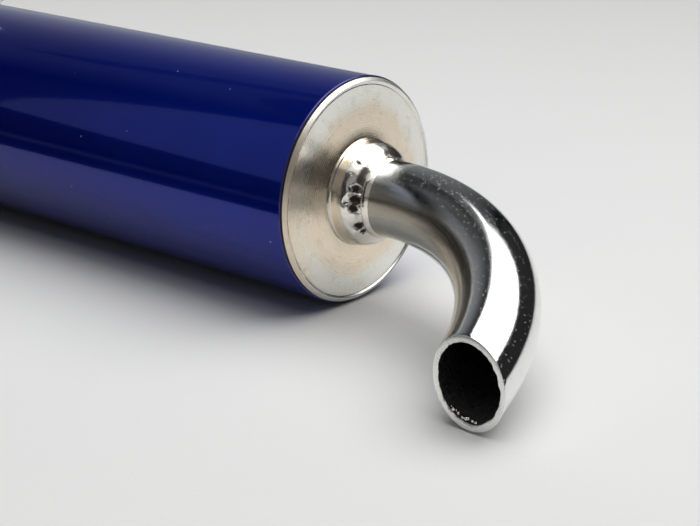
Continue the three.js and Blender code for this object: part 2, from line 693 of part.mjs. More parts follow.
// Stand it on Z = 0 with the middle of its footprint at the origin.
exhaust.updateMatrixWorld(true);
const extent = new THREE.Box3().setFromObject(assembly, true);
assembly.position.set(
  -(extent.min.x + extent.max.x) / 2,
  -(extent.min.y + extent.max.y) / 2,
  -extent.min.z,
);

export default exhaust;
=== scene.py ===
import json
from math import asin, ceil, cos, exp, hypot, pi, radians, sin, sqrt, tan
import bmesh
import bpy
from mathutils import Matrix, Vector, noise

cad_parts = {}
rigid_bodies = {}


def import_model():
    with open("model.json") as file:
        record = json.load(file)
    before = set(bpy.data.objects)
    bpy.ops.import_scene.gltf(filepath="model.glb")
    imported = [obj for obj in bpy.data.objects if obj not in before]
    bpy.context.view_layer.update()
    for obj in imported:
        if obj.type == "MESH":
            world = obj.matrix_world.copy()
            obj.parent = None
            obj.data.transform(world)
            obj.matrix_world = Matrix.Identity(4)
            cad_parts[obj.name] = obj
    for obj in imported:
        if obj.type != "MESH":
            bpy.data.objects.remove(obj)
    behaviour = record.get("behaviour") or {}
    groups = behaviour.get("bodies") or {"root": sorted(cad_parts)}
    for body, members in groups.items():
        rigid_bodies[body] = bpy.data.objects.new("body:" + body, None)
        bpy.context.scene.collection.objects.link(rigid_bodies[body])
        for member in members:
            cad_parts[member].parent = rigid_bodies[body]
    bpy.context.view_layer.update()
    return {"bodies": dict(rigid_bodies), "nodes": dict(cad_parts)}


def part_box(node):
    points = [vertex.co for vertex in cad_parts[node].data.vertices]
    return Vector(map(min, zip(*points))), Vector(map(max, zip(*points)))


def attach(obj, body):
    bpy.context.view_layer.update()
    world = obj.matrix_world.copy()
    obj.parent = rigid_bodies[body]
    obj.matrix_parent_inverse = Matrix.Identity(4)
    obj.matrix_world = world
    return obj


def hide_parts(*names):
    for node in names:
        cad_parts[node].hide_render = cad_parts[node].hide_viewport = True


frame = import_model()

MM = 0.001
SHELL_INSET = 0.9               # the shell's end stops this far behind the rear rim

shell_low, shell_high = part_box("silencer_shell")
AXIS = Vector((
    shell_high.x + SHELL_INSET * MM,
    (shell_low.y + shell_high.y) / 2,
    (shell_low.z + shell_high.z) / 2,
))
MAIN = Matrix.Translation(AXIS) @ Matrix.Scale(MM, 4)

# ------------------------------------------------------------------ sizes, in millimetres
CAN_RADIUS = 30
CAN_WALL = 1
CAN_LENGTH = 190
SHEET = 1.2
RIM_RADIUS = 29.6
SKIRT_RADIUS = 28.6
GROOVE_INNER = 27.8             # the groove between a cap's dish and its rim
GROOVE_OUTER = 28.3
DISH_RISE = 1.1                 # the middle of a cap stands this far proud of its rim
DISH_CROWN = 0.6                # of which this much is the shallow dish, and the rest a fillet by the collar
DISH_INNER = 13.8
DISH_FILLET = 17.5
DISH_OUTER = 27.2
COLLAR_BASE = 1.2
COLLAR_TOP = 8.8
COLLAR_SHOULDER = 2.8
COLLAR_WELD_X = 9.4
OUTLET_COLLAR_RADIUS = 13.75
OUTLET_PIT_RADIUS = 11.3        # how far out the pits in the tail pipe's collar lie

TUBE_RADIUS = 10
TUBE_WALL = 1.5
TUBE_BORE = TUBE_RADIUS - TUBE_WALL
TAIL_START = -14
TAIL_LEAD = 11.9
TAIL_BEND_RADIUS = 60
TAIL_BEND = radians(82.3)
TAIL_END = 0.7
TAIL_DROOP = radians(21)
TAIL_SIDE = Vector((0, -cos(TAIL_DROOP), -sin(TAIL_DROOP)))
MOUTH_YAW = radians(2.4)
MOUTH_PITCH = radians(1.8)

INLET_RADIUS = 11.8
INLET_BORE = 10.15
INLET_COLLAR_RADIUS = 15.5
INLET_MOUTH = -226
INLET_SLOT_LENGTH = 16
INLET_SLOT_WIDTH = 1.6
CLAMP_X = -217
CLAMP_TILT = radians(-40)
CLAMP_INNER = 12.1
CLAMP_WIDTH = 10
EAR_FACE = 3                    # from the clamp's middle plane to an ear's inner face
EAR_TOP = 22.5
CLAMP_SHEET = 1.1
SCREW_HEIGHT = 18

HANGER_X = -168
HANGER_WIDTH = 25
HANGER_HALF_ANGLE = radians(32)
SADDLE_INNER = 30.3
SADDLE_SHEET = 1.5
TAB_THICKNESS = 2.5
TAB_HALF_WIDTH = 12
TAB_HOLE_HEIGHT = 45
HANGER_HOLE_RADIUS = 6.3
RIVET_ANGLE = radians(24)
RIVET_SPACING = 18

STINGER_END = -206
CONE_NECK = -240
BAFFLE_START = -246
BELLY_START = -312
DIFFUSER_START = -357
HEADER_CONE_START = -417
SOCKET_START = -482
SOCKET_MOUTH = -504
BELLY_RADIUS = 29
DIFFUSER_END_RADIUS = 17.5
SOCKET_RADIUS = 13.3
CHAMBER_BRACKET_X = (BELLY_START + DIFFUSER_START) / 2
CHAMBER_BRACKET_HOLE_RADIUS = 4.2

HEADER_RADIUS = 11
HEADER_START = -486
HEADER_LEAD = 34
HEADER_BEND_RADIUS = 42
HEADER_END = 17.7
FLANGE_X = -562
FLANGE_FACE = 60
FLANGE_THICKNESS = 6
FLANGE_BODY_RADIUS = 17
FLANGE_LOBE_RADIUS = 8.9
FLANGE_HOLE_REACH = 21
FLANGE_HOLE_RADIUS = 3.3

SPRING_HEIGHT = 19.5
SPRING_SPAN = 48
CHAMBER_POST_X = -468
HEADER_POST_X = -516
POST_RADIUS = 1.8
POST_SHOULDER = 21.7

ROUND = 200                     # points round the large turned pieces
QUAD = [(0, 1, 2, 3)]


# ------------------------------------------------------------------ shapes
class Shape:
    """Points in the builder's millimetres, faces between them and a finish number for each face."""

    def __init__(self):
        self.points = []
        self.faces = []
        self.finishes = []

    def face(self, corners, finish=0):
        self.faces.append(tuple(corners))
        self.finishes.append(finish)

    def skin(self, rings, closed=False, finish=lambda ring: 0):
        """Faces between rings of points, each ring joined up. closed joins the last ring to the first."""
        first = len(self.points)
        count = len(rings[0])
        for ring in rings:
            self.points.extend(ring)
        for i in range(len(rings) if closed else len(rings) - 1):
            here = first + i * count
            there = first + (i + 1) % len(rings) * count
            for j in range(count):
                k = (j + 1) % count
                self.face((here + j, here + k, there + k, there + j), finish(i))
        return self

    def add(self, other, place=None):
        """Takes in another shape, moved by a matrix."""
        first = len(self.points)
        self.points += [place @ point for point in other.points] if place else other.points
        for corners, finish in zip(other.faces, other.finishes):
            self.face([first + corner for corner in corners], finish)
        return self


def limited(value, high=1):
    return min(max(value, 0), high)


def ease(share):
    """0 to 1 with a soft start and end."""
    share = limited(share)
    return share * share * (3 - 2 * share)


def spread(start, end, steps):
    """steps + 1 even values from start to end."""
    return [start + (end - start) * k / steps for k in range(steps + 1)]


def angles_round(count):
    return spread(0, 2 * pi, count)[:-1]


def grain(seed, *coordinates):
    """Smooth noise from -1 to 1."""
    x, y, z = (*coordinates, 0, 0)[:3]
    return noise.noise(Vector((x + 17.3 * seed, y - 9.1 * seed, z + 5.7 * seed)))


def soften(corners, closed=True, steps=4):
    """A line through (a, b, rounding) corners, each turned into an arc that starts that far from it."""
    line = []
    for index, (a, b, rounding) in enumerate(corners):
        corner = Vector((a, b))
        at_end = not closed and index in (0, len(corners) - 1)
        if not rounding or at_end:
            line.append(corner)
            continue
        before = Vector(corners[index - 1][:2])
        after = Vector(corners[(index + 1) % len(corners)][:2])
        start = corner + (before - corner).normalized() * rounding
        end = corner + (after - corner).normalized() * rounding
        for share in spread(0, 1, steps):
            line.append(start.lerp(corner, share).lerp(corner.lerp(end, share), share))
    return line


def guarded(line, guard=0.25, run=6, closed=True):
    """The line with extra points close to the ends of its long stretches, so that they shade flat."""
    result = []
    for a, b in zip(line, line[1:] + line[:closed]):
        length = (b - a).length
        result.append(a)
        if length > 4 * guard:
            inside = max(1, ceil((length - 2 * guard) / run))
            result += [a.lerp(b, along / length) for along in spread(guard, length - guard, inside)]
    if not closed:
        result.append(line[-1])
    return result


def on_axis(x, radius, angle):
    """A point round the X axis; angle 0 is +Y and a quarter turn is +Z."""
    return Vector((x, radius * cos(angle), radius * sin(angle)))


def turned(corners, around=ROUND, shift=None, steps=4, run=6):
    """A closed outline of (x, radius, rounding) corners turned about X. shift(x, radius, angle) is what is
    added to a point's x and radius."""
    rings = []
    for x, radius in guarded(soften(corners, steps=steps), run=run):
        ring = []
        for angle in angles_round(around):
            dx, dr = shift(x, radius, angle) if shift else (0, 0)
            ring.append(on_axis(x + dx, radius + dr, angle))
        rings.append(ring)
    return Shape().skin(rings, closed=True)


def tube(start, end, outer, inner, rounding=0.3, around=ROUND, shift=None):
    corners = [(start, inner), (start, outer), (end, outer), (end, inner)]
    return turned([(x, radius, rounding) for x, radius in corners], around, shift)


def bead(x, radius, half_width, height, seed, ripples=36, around=288, relief=0.13, fall=0.55):
    """A weld bead round X: a low arch whose crest carries the overlapping crescents of the weld pool.
    fall is small for an arch with steep sides and above 1 for one that runs out flat."""
    rings = []
    for u in spread(-1, 1, 10):
        ring = []
        for angle in angles_round(around):
            where = (2.2 * cos(angle), 2.2 * sin(angle))
            wander = 0.16 * half_width * grain(seed, *where)
            swell = 1 + 0.22 * grain(seed + 1, *where, 3)
            phase = ripples * angle + 3.5 * grain(seed + 2, *where) - 2.6 * u * u
            crescent = 1 + relief * sin(phase)
            arch = max(1 - u * u, 0) ** fall
            ring.append(on_axis(x + wander + half_width * swell ** 0.5 * u,
                                radius + height * 0.86 * swell * crescent * arch, angle))
        rings.append(ring)
    for end in (1, -1):
        rings.append([on_axis(x + 0.6 * end * half_width, radius - 0.4, angle)
                      for angle in angles_round(around)])
    return Shape().skin(rings, closed=True)


class Bend:
    """A straight, a round bend and a straight. at() gives its centre and the direction out of the bend."""

    def __init__(self, start, along, side, lead, radius, angle, end):
        self.start, self.along, self.side = start, along, side
        self.lead, self.radius, self.angle = lead, radius, angle
        self.length = lead + radius * angle + end
        self.cross = along.cross(side)

    def at(self, distance):
        straight = min(distance, self.lead)
        turn = limited((distance - self.lead) / self.radius, self.angle)
        beyond = max(distance - self.lead - self.radius * self.angle, 0)
        forward = straight + self.radius * sin(turn) + beyond * cos(turn)
        sideways = self.radius * (1 - cos(turn)) + beyond * sin(turn)
        centre = self.start + self.along * forward + self.side * sideways
        outward = self.along * sin(turn) - self.side * cos(turn)
        return centre, outward

    def point(self, distance, radius, angle):
        centre, outward = self.at(distance)
        return centre + (outward * cos(angle) + self.cross * sin(angle)) * radius


def bent_tube(path, outer, inner, wave, end_at, around, burr=0, finishes=(0, 0, 0)):
    """A tube along a Bend. wave(distance, angle) adds to its outer radius, and end_at(radius, angle) is the
    distance at which its wall meets the plane of its mouth. burr is how ragged the mouth's inner edge is.
    finishes: outside, mouth, inside."""
    length = path.length
    step = 1.2                      # between rings
    lip = 0.18                      # rounding of the mouth's edges
    tail = 14                       # the stretch over which the rings swing round to the mouth's plane

    def ring(distance, radius, from_mouth=0, waved=False):
        points = []
        for angle in angles_round(around):
            reach = end_at(radius, angle) - length - from_mouth
            here = distance + reach * ease((distance - length + tail) / tail)
            swell = wave(here, angle) if waved else 0
            if radius < inner + lip and from_mouth < lip and distance == length:
                swell = burr * grain(8, 9 * cos(angle), 9 * sin(angle))
            points.append(path.point(here, radius + swell, angle))
        return points

    stations = spread(0, length, round(length / step))[:-1]
    outside = [ring(distance, outer, waved=True) for distance in stations]
    outside.append(ring(length, outer, lip, waved=True))
    mouth = [ring(length, outer - 0.3 * lip, 0.3 * lip)]
    mouth += [ring(length, radius) for radius in (outer - lip, (outer + inner) / 2, inner + 0.6 * lip)]
    inside = [ring(length, inner, 0.6 * lip)]
    inside += [ring(distance, inner) for distance in reversed(stations)]

    def finish(i):
        if i < len(outside) - 1:
            return finishes[0]
        return finishes[1] if i < len(outside) + len(mouth) else finishes[2]
    return Shape().skin(outside + mouth + inside, closed=True, finish=finish)


def waviness(seed):
    """How far a bent tube's outside swells and sinks at a distance and an angle."""
    most = 0.03
    return lambda distance, angle: most * grain(
        seed, 0.08 * distance, 2.5 * cos(angle), 2.5 * sin(angle))


def wire(points, radius, sides, thickness=lambda share: 1):
    """A round wire through points, with chamfered ends."""
    chamfer = 0.2 * radius
    last = len(points) - 1
    rings = []
    normal = None
    for i, here in enumerate(points):
        ahead = (points[min(i + 1, last)] - points[max(i - 1, 0)]).normalized()
        normal = normal or ahead.orthogonal().normalized()
        normal = (normal - ahead * normal.dot(ahead)).normalized()
        cross = ahead.cross(normal)
        stations = [(0, radius * thickness(i / last))]
        if i == 0:
            stations = [(-chamfer, 0), (-chamfer, radius - chamfer)] + stations
        if i == last:
            stations += [(chamfer, radius - chamfer), (chamfer, 0)]
        for forward, size in stations:
            rings.append([here + ahead * forward + (normal * cos(a) + cross * sin(a)) * size
                          for a in angles_round(sides)])
    return Shape().skin(rings)


def slab(columns, rows, place, kept=lambda i, j: True, wrap=False):
    """A curved sheet of cells. place(i, j, level) is a corner on its underside (0) or top (1); where kept
    turns a cell down the sheet is open, with a wall round the opening. wrap joins it into a tube."""
    shape = Shape()
    across = columns if wrap else columns + 1
    number = {}
    for level in (0, 1):
        for i in range(across):
            for j in range(rows + 1):
                number[level, i, j] = len(shape.points)
                shape.points.append(place(i, j, level))

    def solid(i, j):
        i = i % columns if wrap else i
        return 0 <= i < columns and 0 <= j < rows and kept(i, j)

    for i in range(columns):
        for j in range(rows):
            if not solid(i, j):
                continue
            loop = [(i, j), (i + 1, j), (i + 1, j + 1), (i, j + 1)]
            low = [number[0, a % across, b] for a, b in loop]
            high = [number[1, a % across, b] for a, b in loop]
            shape.face(reversed(low))
            shape.face(high)
            for a, step in enumerate([(0, -1), (1, 0), (0, 1), (-1, 0)]):
                if not solid(i + step[0], j + step[1]):
                    b = (a + 1) % 4
                    shape.face((low[a], low[b], high[b], high[a]))
    return shape


def corner_inset(past, radius):
    """How far a rounded corner draws an edge in, at a distance past the corner's start."""
    return radius - sqrt(max(radius ** 2 - max(past, 0) ** 2, 0))


def arc(x, z, radius, start, end, steps):
    """Points (x, z) along an arc, angles in radians from +X towards +Z."""
    return [(x + radius * cos(a), z + radius * sin(a)) for a in spread(start, end, steps)]


def circle(x, z, radius):
    return arc(x, z, radius, 0, 2 * pi, 64)[:-1]


def plate(loops, thickness, bevel):
    """A flat plate in XZ about Y = 0, from closed loops of (x, z): its outline, then its holes."""
    curve = bpy.data.curves.new("plate", "CURVE")
    curve.dimensions = "2D"
    curve.fill_mode = "BOTH"
    curve.extrude = thickness / 2 - bevel
    curve.bevel_depth = bevel
    curve.bevel_resolution = 2
    curve.offset = -bevel
    for loop in loops:
        spline = curve.splines.new("POLY")
        spline.points.add(len(loop) - 1)
        for point, (x, z) in zip(spline.points, loop):
            point.co = (x, z, 0, 1)
        spline.use_cyclic_u = True
    holder = bpy.data.objects.new("plate", curve)
    mesh = bpy.data.meshes.new_from_object(holder)
    shape = Shape()
    shape.points = [Vector((v.co.x, -v.co.z, v.co.y)) for v in mesh.vertices]
    for polygon in mesh.polygons:
        shape.face(polygon.vertices)
    bpy.data.objects.remove(holder)
    bpy.data.curves.remove(curve)
    bpy.data.meshes.remove(mesh)
    return shape


def hexagon(start, end, corner, bore):
    """A hexagonal nut or head along X, its corners chamfered at both ends."""
    flat = corner * cos(pi / 6)
    chamfer = tan(radians(30))
    rings = [[], [], [], [], [], []]
    for angle in angles_round(72):
        reach = flat / cos(angle % (pi / 3) - pi / 6)
        drop = (reach - 0.95 * flat) * chamfer
        stations = [(start, bore), (start, 0.95 * flat), (start + drop, reach),
                    (end - drop, reach), (end, 0.95 * flat), (end, bore)]
        for ring, (x, radius) in zip(rings, stations):
            ring.append(on_axis(x, radius, angle))
    return Shape().skin(rings, closed=True)


def threaded(start, end, radius, pitch):
    """A threaded shank along X."""
    around = 40
    depth = 0.3 * pitch
    stations = [(start, 0), (start, radius - depth)]
    x = start + 0.4
    while x < end - pitch:
        stations += [(x, radius - depth), (x + pitch / 2, radius)]
        x += pitch
    stations += [(end - 0.3, radius - depth), (end, radius - 2 * depth), (end, 0)]
    rings = []
    for index, (x, size) in enumerate(stations):
        moves = 2 <= index < len(stations) - 3
        rings.append([on_axis(x + (pitch * k / around if moves else 0), size, angle)
                      for k, angle in enumerate(angles_round(around))])
    return Shape().skin(rings)


def moved(x=0, y=0, z=0):
    return Matrix.Translation((x, y, z))


def rotated(angle, axis="X"):
    return Matrix.Rotation(angle, 4, axis)


def along_y(x, y, z):
    """Takes the X axis to +Y, at a place."""
    return moved(x, y, z) @ rotated(pi / 2, "Z")


UPRIGHT = rotated(-pi / 2, "Y")  # takes the X axis to +Z


def in_scene(name, data):
    made = bpy.data.objects.new(name, data)
    bpy.context.scene.collection.objects.link(made)
    return made


def body_of(node):
    parent = frame["nodes"][node].parent
    return next(name for name, empty in frame["bodies"].items() if empty == parent)


def piece(node, shape, slot="plated_steel", looks=None, place=None, bevel=0, sharp=38):
    """A shape as an object that stands for a CAD node and rides on its body. looks are its materials, one
    for each finish, where they aren't the slot's own. bevel is a width, and sharp the degrees of an edge
    that isn't smoothed over."""
    mesh = bpy.data.meshes.new(node + "_skin")
    matrix = MAIN @ place if place else MAIN
    mesh.from_pydata([matrix @ point for point in shape.points], [], shape.faces)
    mesh.polygons.foreach_set("material_index", shape.finishes)
    work = bmesh.new()
    work.from_mesh(mesh)
    bmesh.ops.remove_doubles(work, verts=work.verts, dist=1e-6)
    bmesh.ops.delete(work, geom=[v for v in work.verts if not v.link_faces], context="VERTS")
    bmesh.ops.recalc_face_normals(work, faces=work.faces)
    work.to_mesh(mesh)
    work.free()
    for look in looks or [LOOKS[slot]]:
        mesh.materials.append(look)
    mesh.polygons.foreach_set("use_smooth", [True] * len(mesh.polygons))
    mesh.set_sharp_from_angle(angle=radians(sharp))
    made = in_scene(mesh.name, mesh)
    if bevel:
        rounding = made.modifiers.new("rounded edges", "BEVEL")
        rounding.width = bevel * MM
        rounding.segments = 3
        rounding.limit_method = "ANGLE"
        rounding.angle_limit = radians(50)
        made.modifiers.new("flat faces", "WEIGHTED_NORMAL").keep_sharp = True
    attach(made, body_of(node))
    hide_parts(node)


def above_and_below(node, shape, x, stand=UPRIGHT, slot="plated_steel"):
    """A piece and its twin half a turn round the axis, their nodes numbered 1 and 2."""
    for i, turn in enumerate((0, pi)):
        piece(f"{node}_{i + 1}", shape, slot, place=moved(x) @ rotated(turn) @ stand)


# ------------------------------------------------------------------ materials
class Look:
    """A procedural material: its Principled shader, and short calls that add nodes in front of it.
    Textures are in the builder's millimetres about the axis, so that their scales are per millimetre."""

    def __init__(self, name, **inputs):
        self.material = bpy.data.materials.new(name)
        self.material.use_nodes = True
        self.tree = self.material.node_tree
        self.shader = self.tree.nodes["Principled BSDF"]
        self.set(**inputs)
        coordinates = self.node("ShaderNodeTexCoord").outputs["Object"]
        self.place = self.node("ShaderNodeMapping", Vector=coordinates, Scale=(1 / MM,) * 3,
                               Location=tuple(-AXIS / MM)).outputs[0]

    def node(self, kind, *values, settings=(), **inputs):
        """A new node. values go to its inputs in order, and inputs by name."""
        made = self.tree.nodes.new(kind)
        for name, value in settings:
            setattr(made, name, value)
        for socket, value in zip(made.inputs, values):
            self.feed(socket, value)
        for name, value in inputs.items():
            self.feed(made.inputs[name], value)
        return made

    def feed(self, socket, value):
        if isinstance(value, bpy.types.NodeSocket):
            self.tree.links.new(value, socket)
        elif socket.type == "RGBA":
            socket.default_value = (*value, 1)
        else:
            socket.default_value = value

    def set(self, **inputs):
        for name, value in inputs.items():
            self.feed(self.shader.inputs[name.replace("_", " ")], value)

    def finish(self, colour, roughness, normal):
        self.set(Base_Color=colour, Roughness=roughness, Normal=normal)
        return self.material

    def noise(self, scale, detail=3, rough=0.5, stretch=None, vector=None):
        vector = vector or self.place
        if stretch:
            vector = self.node("ShaderNodeMapping", Vector=vector, Scale=stretch).outputs[0]
        return self.node("ShaderNodeTexNoise", Vector=vector, Scale=scale, Detail=detail,
                         Roughness=rough).outputs[0]

    def math(self, operation, *values):
        return self.node("ShaderNodeMath", *values, settings=[("operation", operation)]).outputs[0]

    def times(self, a, b):
        return self.math("MULTIPLY", a, b)

    def plus(self, a, b):
        return self.math("ADD", a, b)

    def vector_math(self, operation, *values):
        made = self.node("ShaderNodeVectorMath", *values, settings=[("operation", operation)])
        return made.outputs["Vector" if operation in ("MULTIPLY", "SUBTRACT") else "Value"]

    def band(self, value, low, high, from_value=0.0, to_value=1.0):
        """value between low and high, spread smoothly over from_value to to_value."""
        return self.node("ShaderNodeMapRange", value, low, high, from_value, to_value,
                         settings=[("interpolation_type", "SMOOTHSTEP")]).outputs[0]

    def mix(self, share, a, b):
        made = self.node("ShaderNodeMix", share, settings=[("data_type", "RGBA")])
        self.feed(made.inputs[6], a)
        self.feed(made.inputs[7], b)
        return made.outputs[2]

    def blend(self, value, low, high, a, b, most=1.0):
        """Colour a below low and colour b, or as much of it as most says, above high."""
        return self.mix(self.band(value, low, high, 0.0, most), a, b)

    def bump(self, height, distance, under=None):
        made = self.node("ShaderNodeBump", Height=height, Distance=distance * MM)
        if under:
            self.feed(made.inputs["Normal"], under)
        return made.outputs[0]

    def part(self, axis, vector=None):
        """One coordinate, 0 to 2, of the place or of another vector."""
        return self.node("ShaderNodeSeparateXYZ", vector or self.place).outputs[axis]

    def joined(self, *parts):
        """A vector from its coordinates."""
        return self.node("ShaderNodeCombineXYZ", *parts).outputs[0]

    def radial(self):
        """Distance from the main axis."""
        return self.vector_math("LENGTH", self.vector_math("MULTIPLY", self.place, (0, 1, 1)))

    def specks(self, scale, size, share):
        """Small round spots, one in each kept cell. share of the cells are kept."""
        cells = self.node("ShaderNodeTexVoronoi", Vector=self.place, Scale=scale)
        spot = self.band(cells.outputs["Distance"], 0.0, size, 1.0, 0.0)
        lucky = self.node("ShaderNodeSeparateColor", Color=cells.outputs["Color"]).outputs[0]
        return self.times(spot, self.math("LESS_THAN", lucky, share))


def inside_bend(look):
    """1 on the inside of the tail pipe's bend and 0 on its outside."""
    centre = look.vector_math("SUBTRACT", look.place, (TAIL_LEAD, 0, 0))
    sideways = look.vector_math("DOT_PRODUCT", centre, TAIL_SIDE)
    away = look.joined(look.math("MAXIMUM", look.part(0, centre), 0.0),
                       look.math("SUBTRACT", TAIL_BEND_RADIUS, sideways))
    return look.band(look.vector_math("LENGTH", away), TAIL_BEND_RADIUS - 1, TAIL_BEND_RADIUS - 6)


def plated_look(name="plated steel", painted_shade_mask=None):
    """Bright nickel plating over polished tube: faint orange peel, fine pits and a little haze.
    The mask given as the second argument is 1 where the plating is painted a darker grey: painted shade on
    the inside of the tail pipe's bend."""
    tint = (0.84, 0.845, 0.84)
    gloss = 0.075
    look = Look(name, Metallic=1.0)
    pits = look.specks(1.3, 0.22, 0.5)
    colour = look.blend(look.noise(0.12, 4), 0.35, 0.75, tint, [0.93 * c for c in tint])
    if painted_shade_mask:
        # painted shade: where the mask is 1 the plating is painted a darker grey
        colour = look.mix(painted_shade_mask(look), colour, (0.47, 0.48, 0.48))
    rough = look.band(look.noise(0.5, 5, 0.6), 0.4, 0.75, gloss, gloss + 0.06)
    orange_peel = look.bump(look.noise(0.45, 3, 0.55), 0.010)
    grainy = look.bump(look.noise(2.6, 5, 0.7), 0.012, orange_peel)
    return look.finish(look.mix(look.times(pits, 0.75), colour, (0.16, 0.15, 0.14)),
                       look.plus(rough, look.times(pits, 0.3)),
                       look.bump(look.math("SUBTRACT", 1.0, pits), 0.07, grainy))


def cap_look():
    """Pressed cap: plating over a satin, turned surface, warm in the dish and, but for its -Y side, painted
    cool and pale near the rim as a painted reflection, with dirt in parts of the groove inside the rim."""
    look = Look("plated cap", Metallic=1.0)
    radius = look.radial()
    side = look.part(1)
    uneven = look.math("MULTIPLY_ADD", look.noise(0.09, 3), 6.0, radius)
    # painted reflection: a cool, pale ring near the rim, left out on the -Y side
    painted_reflection_ring = look.times(look.band(uneven, 23.0, 28.0), look.band(side, -27.0, -15.0))
    tint = look.mix(painted_reflection_ring, (0.80, 0.70, 0.56), (0.83, 0.83, 0.78))
    stain = look.noise(0.22, 5, 0.62)
    tint = look.blend(stain, 0.5, 0.78, tint, (0.66, 0.58, 0.48), 0.5)
    rings = look.noise(1.0, 2, vector=look.joined(look.times(radius, 3.2)))
    pits = look.specks(0.8, 0.13, 0.12)
    groove = look.times(look.band(radius, GROOVE_INNER, GROOVE_INNER + 0.15),
                        look.band(radius, GROOVE_OUTER, GROOVE_OUTER - 0.15))
    patchy = look.times(look.band(look.noise(0.16, 4, 0.7), 0.46, 0.54), look.band(side, -12, -22))
    dark = look.math("MAXIMUM", look.times(pits, 0.6), look.times(look.times(groove, patchy), 0.97))
    satin = look.plus(look.band(rings, 0.3, 0.7, 0.21, 0.28), look.band(stain, 0.4, 0.8, 0.0, 0.06))
    rim = look.times(look.band(radius, GROOVE_OUTER - 0.1, GROOVE_OUTER + 0.2), 0.14)
    return look.finish(look.mix(dark, tint, (0.015, 0.014, 0.013)),
                       look.plus(look.plus(satin, rim), look.times(dark, 0.4)),
                       look.bump(look.noise(0.3, 4, 0.6), 0.02, look.bump(rings, 0.003)))


def weld_look(name="plated weld", dark_pits=()):
    """Plated weld metal: bright, lumpy, with dark pinholes. The last argument holds pits that are painted
    dark in and round their hollows: (centre, radius).
    """
    look = Look(name, Metallic=1.0)
    dark = look.specks(0.9, 0.2, 0.08)
    ragged = look.math("MULTIPLY_ADD", look.noise(1.5, 5, 0.7), 2.2, -1.1)
    # each listed pit is painted dark in and round its hollow
    for centre, radius in dark_pits:
        edge = look.plus(look.vector_math("DISTANCE", look.place, centre), ragged)
        dark = look.math("MAXIMUM", dark, look.band(edge, 1.1 * radius, 0.6 * radius))
    dirt = look.band(look.noise(0.7, 6, 0.7), 0.62, 0.72)
    dark = look.math("MAXIMUM", dark, look.times(dirt, 0.5))
    lumps = look.bump(look.noise(0.6, 3, 0.5), 0.05)
    return look.finish(look.mix(dark, (0.87, 0.83, 0.76), (0.05, 0.045, 0.04)),
                       look.math("MULTIPLY_ADD", dark, 0.4, 0.2),
                       look.bump(look.math("SUBTRACT", 1.0, dark), 0.08, lumps))


def soot_look():
    """Inside of the tail pipe: oily soot with a few glossy specks of tar."""
    look = Look("soot", Metallic=0.0)
    tar = look.band(look.noise(0.7, 4, 0.6), 0.5, 0.6)
    crumbs = look.specks(1.2, 0.3, 0.45)
    colour = look.blend(look.noise(0.6, 5, 0.65), 0.3, 0.8, (0.005, 0.005, 0.005), (0.02, 0.018, 0.016))
    return look.finish(look.mix(look.times(crumbs, tar), colour, (0.2, 0.19, 0.18)),
                       look.math("SUBTRACT", 0.8, look.times(tar, 0.68)),
                       look.bump(look.noise(1.1, 5, 0.65), 0.6))


def can_look():
    """Blue anodised shell under a clear lacquer, with painted light that makes it brighter towards the rear,
    and scuffed along its ends.
    """
    look = Look("blue anodised", Metallic=0.55, Specular_IOR_Level=0.0, Coat_Weight=1.0,
                Coat_Roughness=0.055, Coat_IOR=1.33)
    x = look.part(0)
    drift = look.band(look.noise(0.035, 3), 0.3, 0.7)
    # painted light and shade: the blue is painted darker towards the front and brighter towards the rear,
    # standing in for light falling off along the can
    painted_shade_blue = look.mix(drift, (0.002, 0.008, 0.170), (0.003, 0.010, 0.195))
    painted_light_blue = look.mix(drift, (0.002, 0.013, 0.235), (0.003, 0.016, 0.265))
    blue = look.blend(x, -115, -25, painted_shade_blue, painted_light_blue)
    blue = look.blend(look.noise(9.0, 2), 0.4, 0.7, blue, (0.006, 0.018, 0.21), 0.25)
    edge = look.noise(0.8, 5, 0.7)
    worn = look.math(
        "MAXIMUM", look.band(look.math("MULTIPLY_ADD", edge, 1.6, x), -0.75, -0.25),
        look.band(look.math("MULTIPLY_ADD", edge, -1.6, x), 0.8 - CAN_LENGTH, 0.2 - CAN_LENGTH))
    dust = look.specks(0.12, 0.04, 1.0)
    colour = look.mix(look.times(worn, 0.65), blue, (0.07, 0.06, 0.21))
    scratches = look.noise(0.9, 6, 0.7, stretch=(0.05, 1, 1))
    look.set(Coat_Normal=look.bump(look.plus(look.noise(0.22, 2), dust), 0.010))
    return look.finish(look.mix(dust, colour, (0.75, 0.75, 0.78)),
                       look.band(scratches, 0.3, 0.75, 0.16, 0.20),
                       look.bump(look.noise(1.6, 3), 0.002, look.bump(look.noise(0.25, 2), 0.008)))


def raw_steel_look():
    """Bare rolled and perforated steel, sooty."""
    look = Look("raw steel", Metallic=1.0)
    rolled = look.noise(0.4, 6, 0.6, stretch=(0.2, 1, 1))
    soot = look.band(look.noise(0.08, 4), 0.4, 0.7)
    steel = look.blend(rolled, 0.3, 0.7, (0.42, 0.41, 0.40), (0.56, 0.55, 0.53))
    return look.finish(look.mix(look.times(soot, 0.6), steel, (0.05, 0.045, 0.04)),
                       look.band(rolled, 0.3, 0.7, 0.35, 0.55), look.bump(rolled, 0.05))


def steel_wool_look():
    """Matted fine steel wire."""
    look = Look("steel wool", Metallic=0.8)
    strands = look.times(look.noise(1.5, 8, 0.75, stretch=(1, 6, 1)),
                         look.noise(1.5, 8, 0.75, stretch=(6, 1, 1)))
    return look.finish(look.blend(strands, 0.15, 0.4, (0.05, 0.05, 0.05), (0.55, 0.54, 0.52)),
                       look.band(strands, 0.15, 0.4, 0.7, 0.4), look.bump(strands, 0.6))


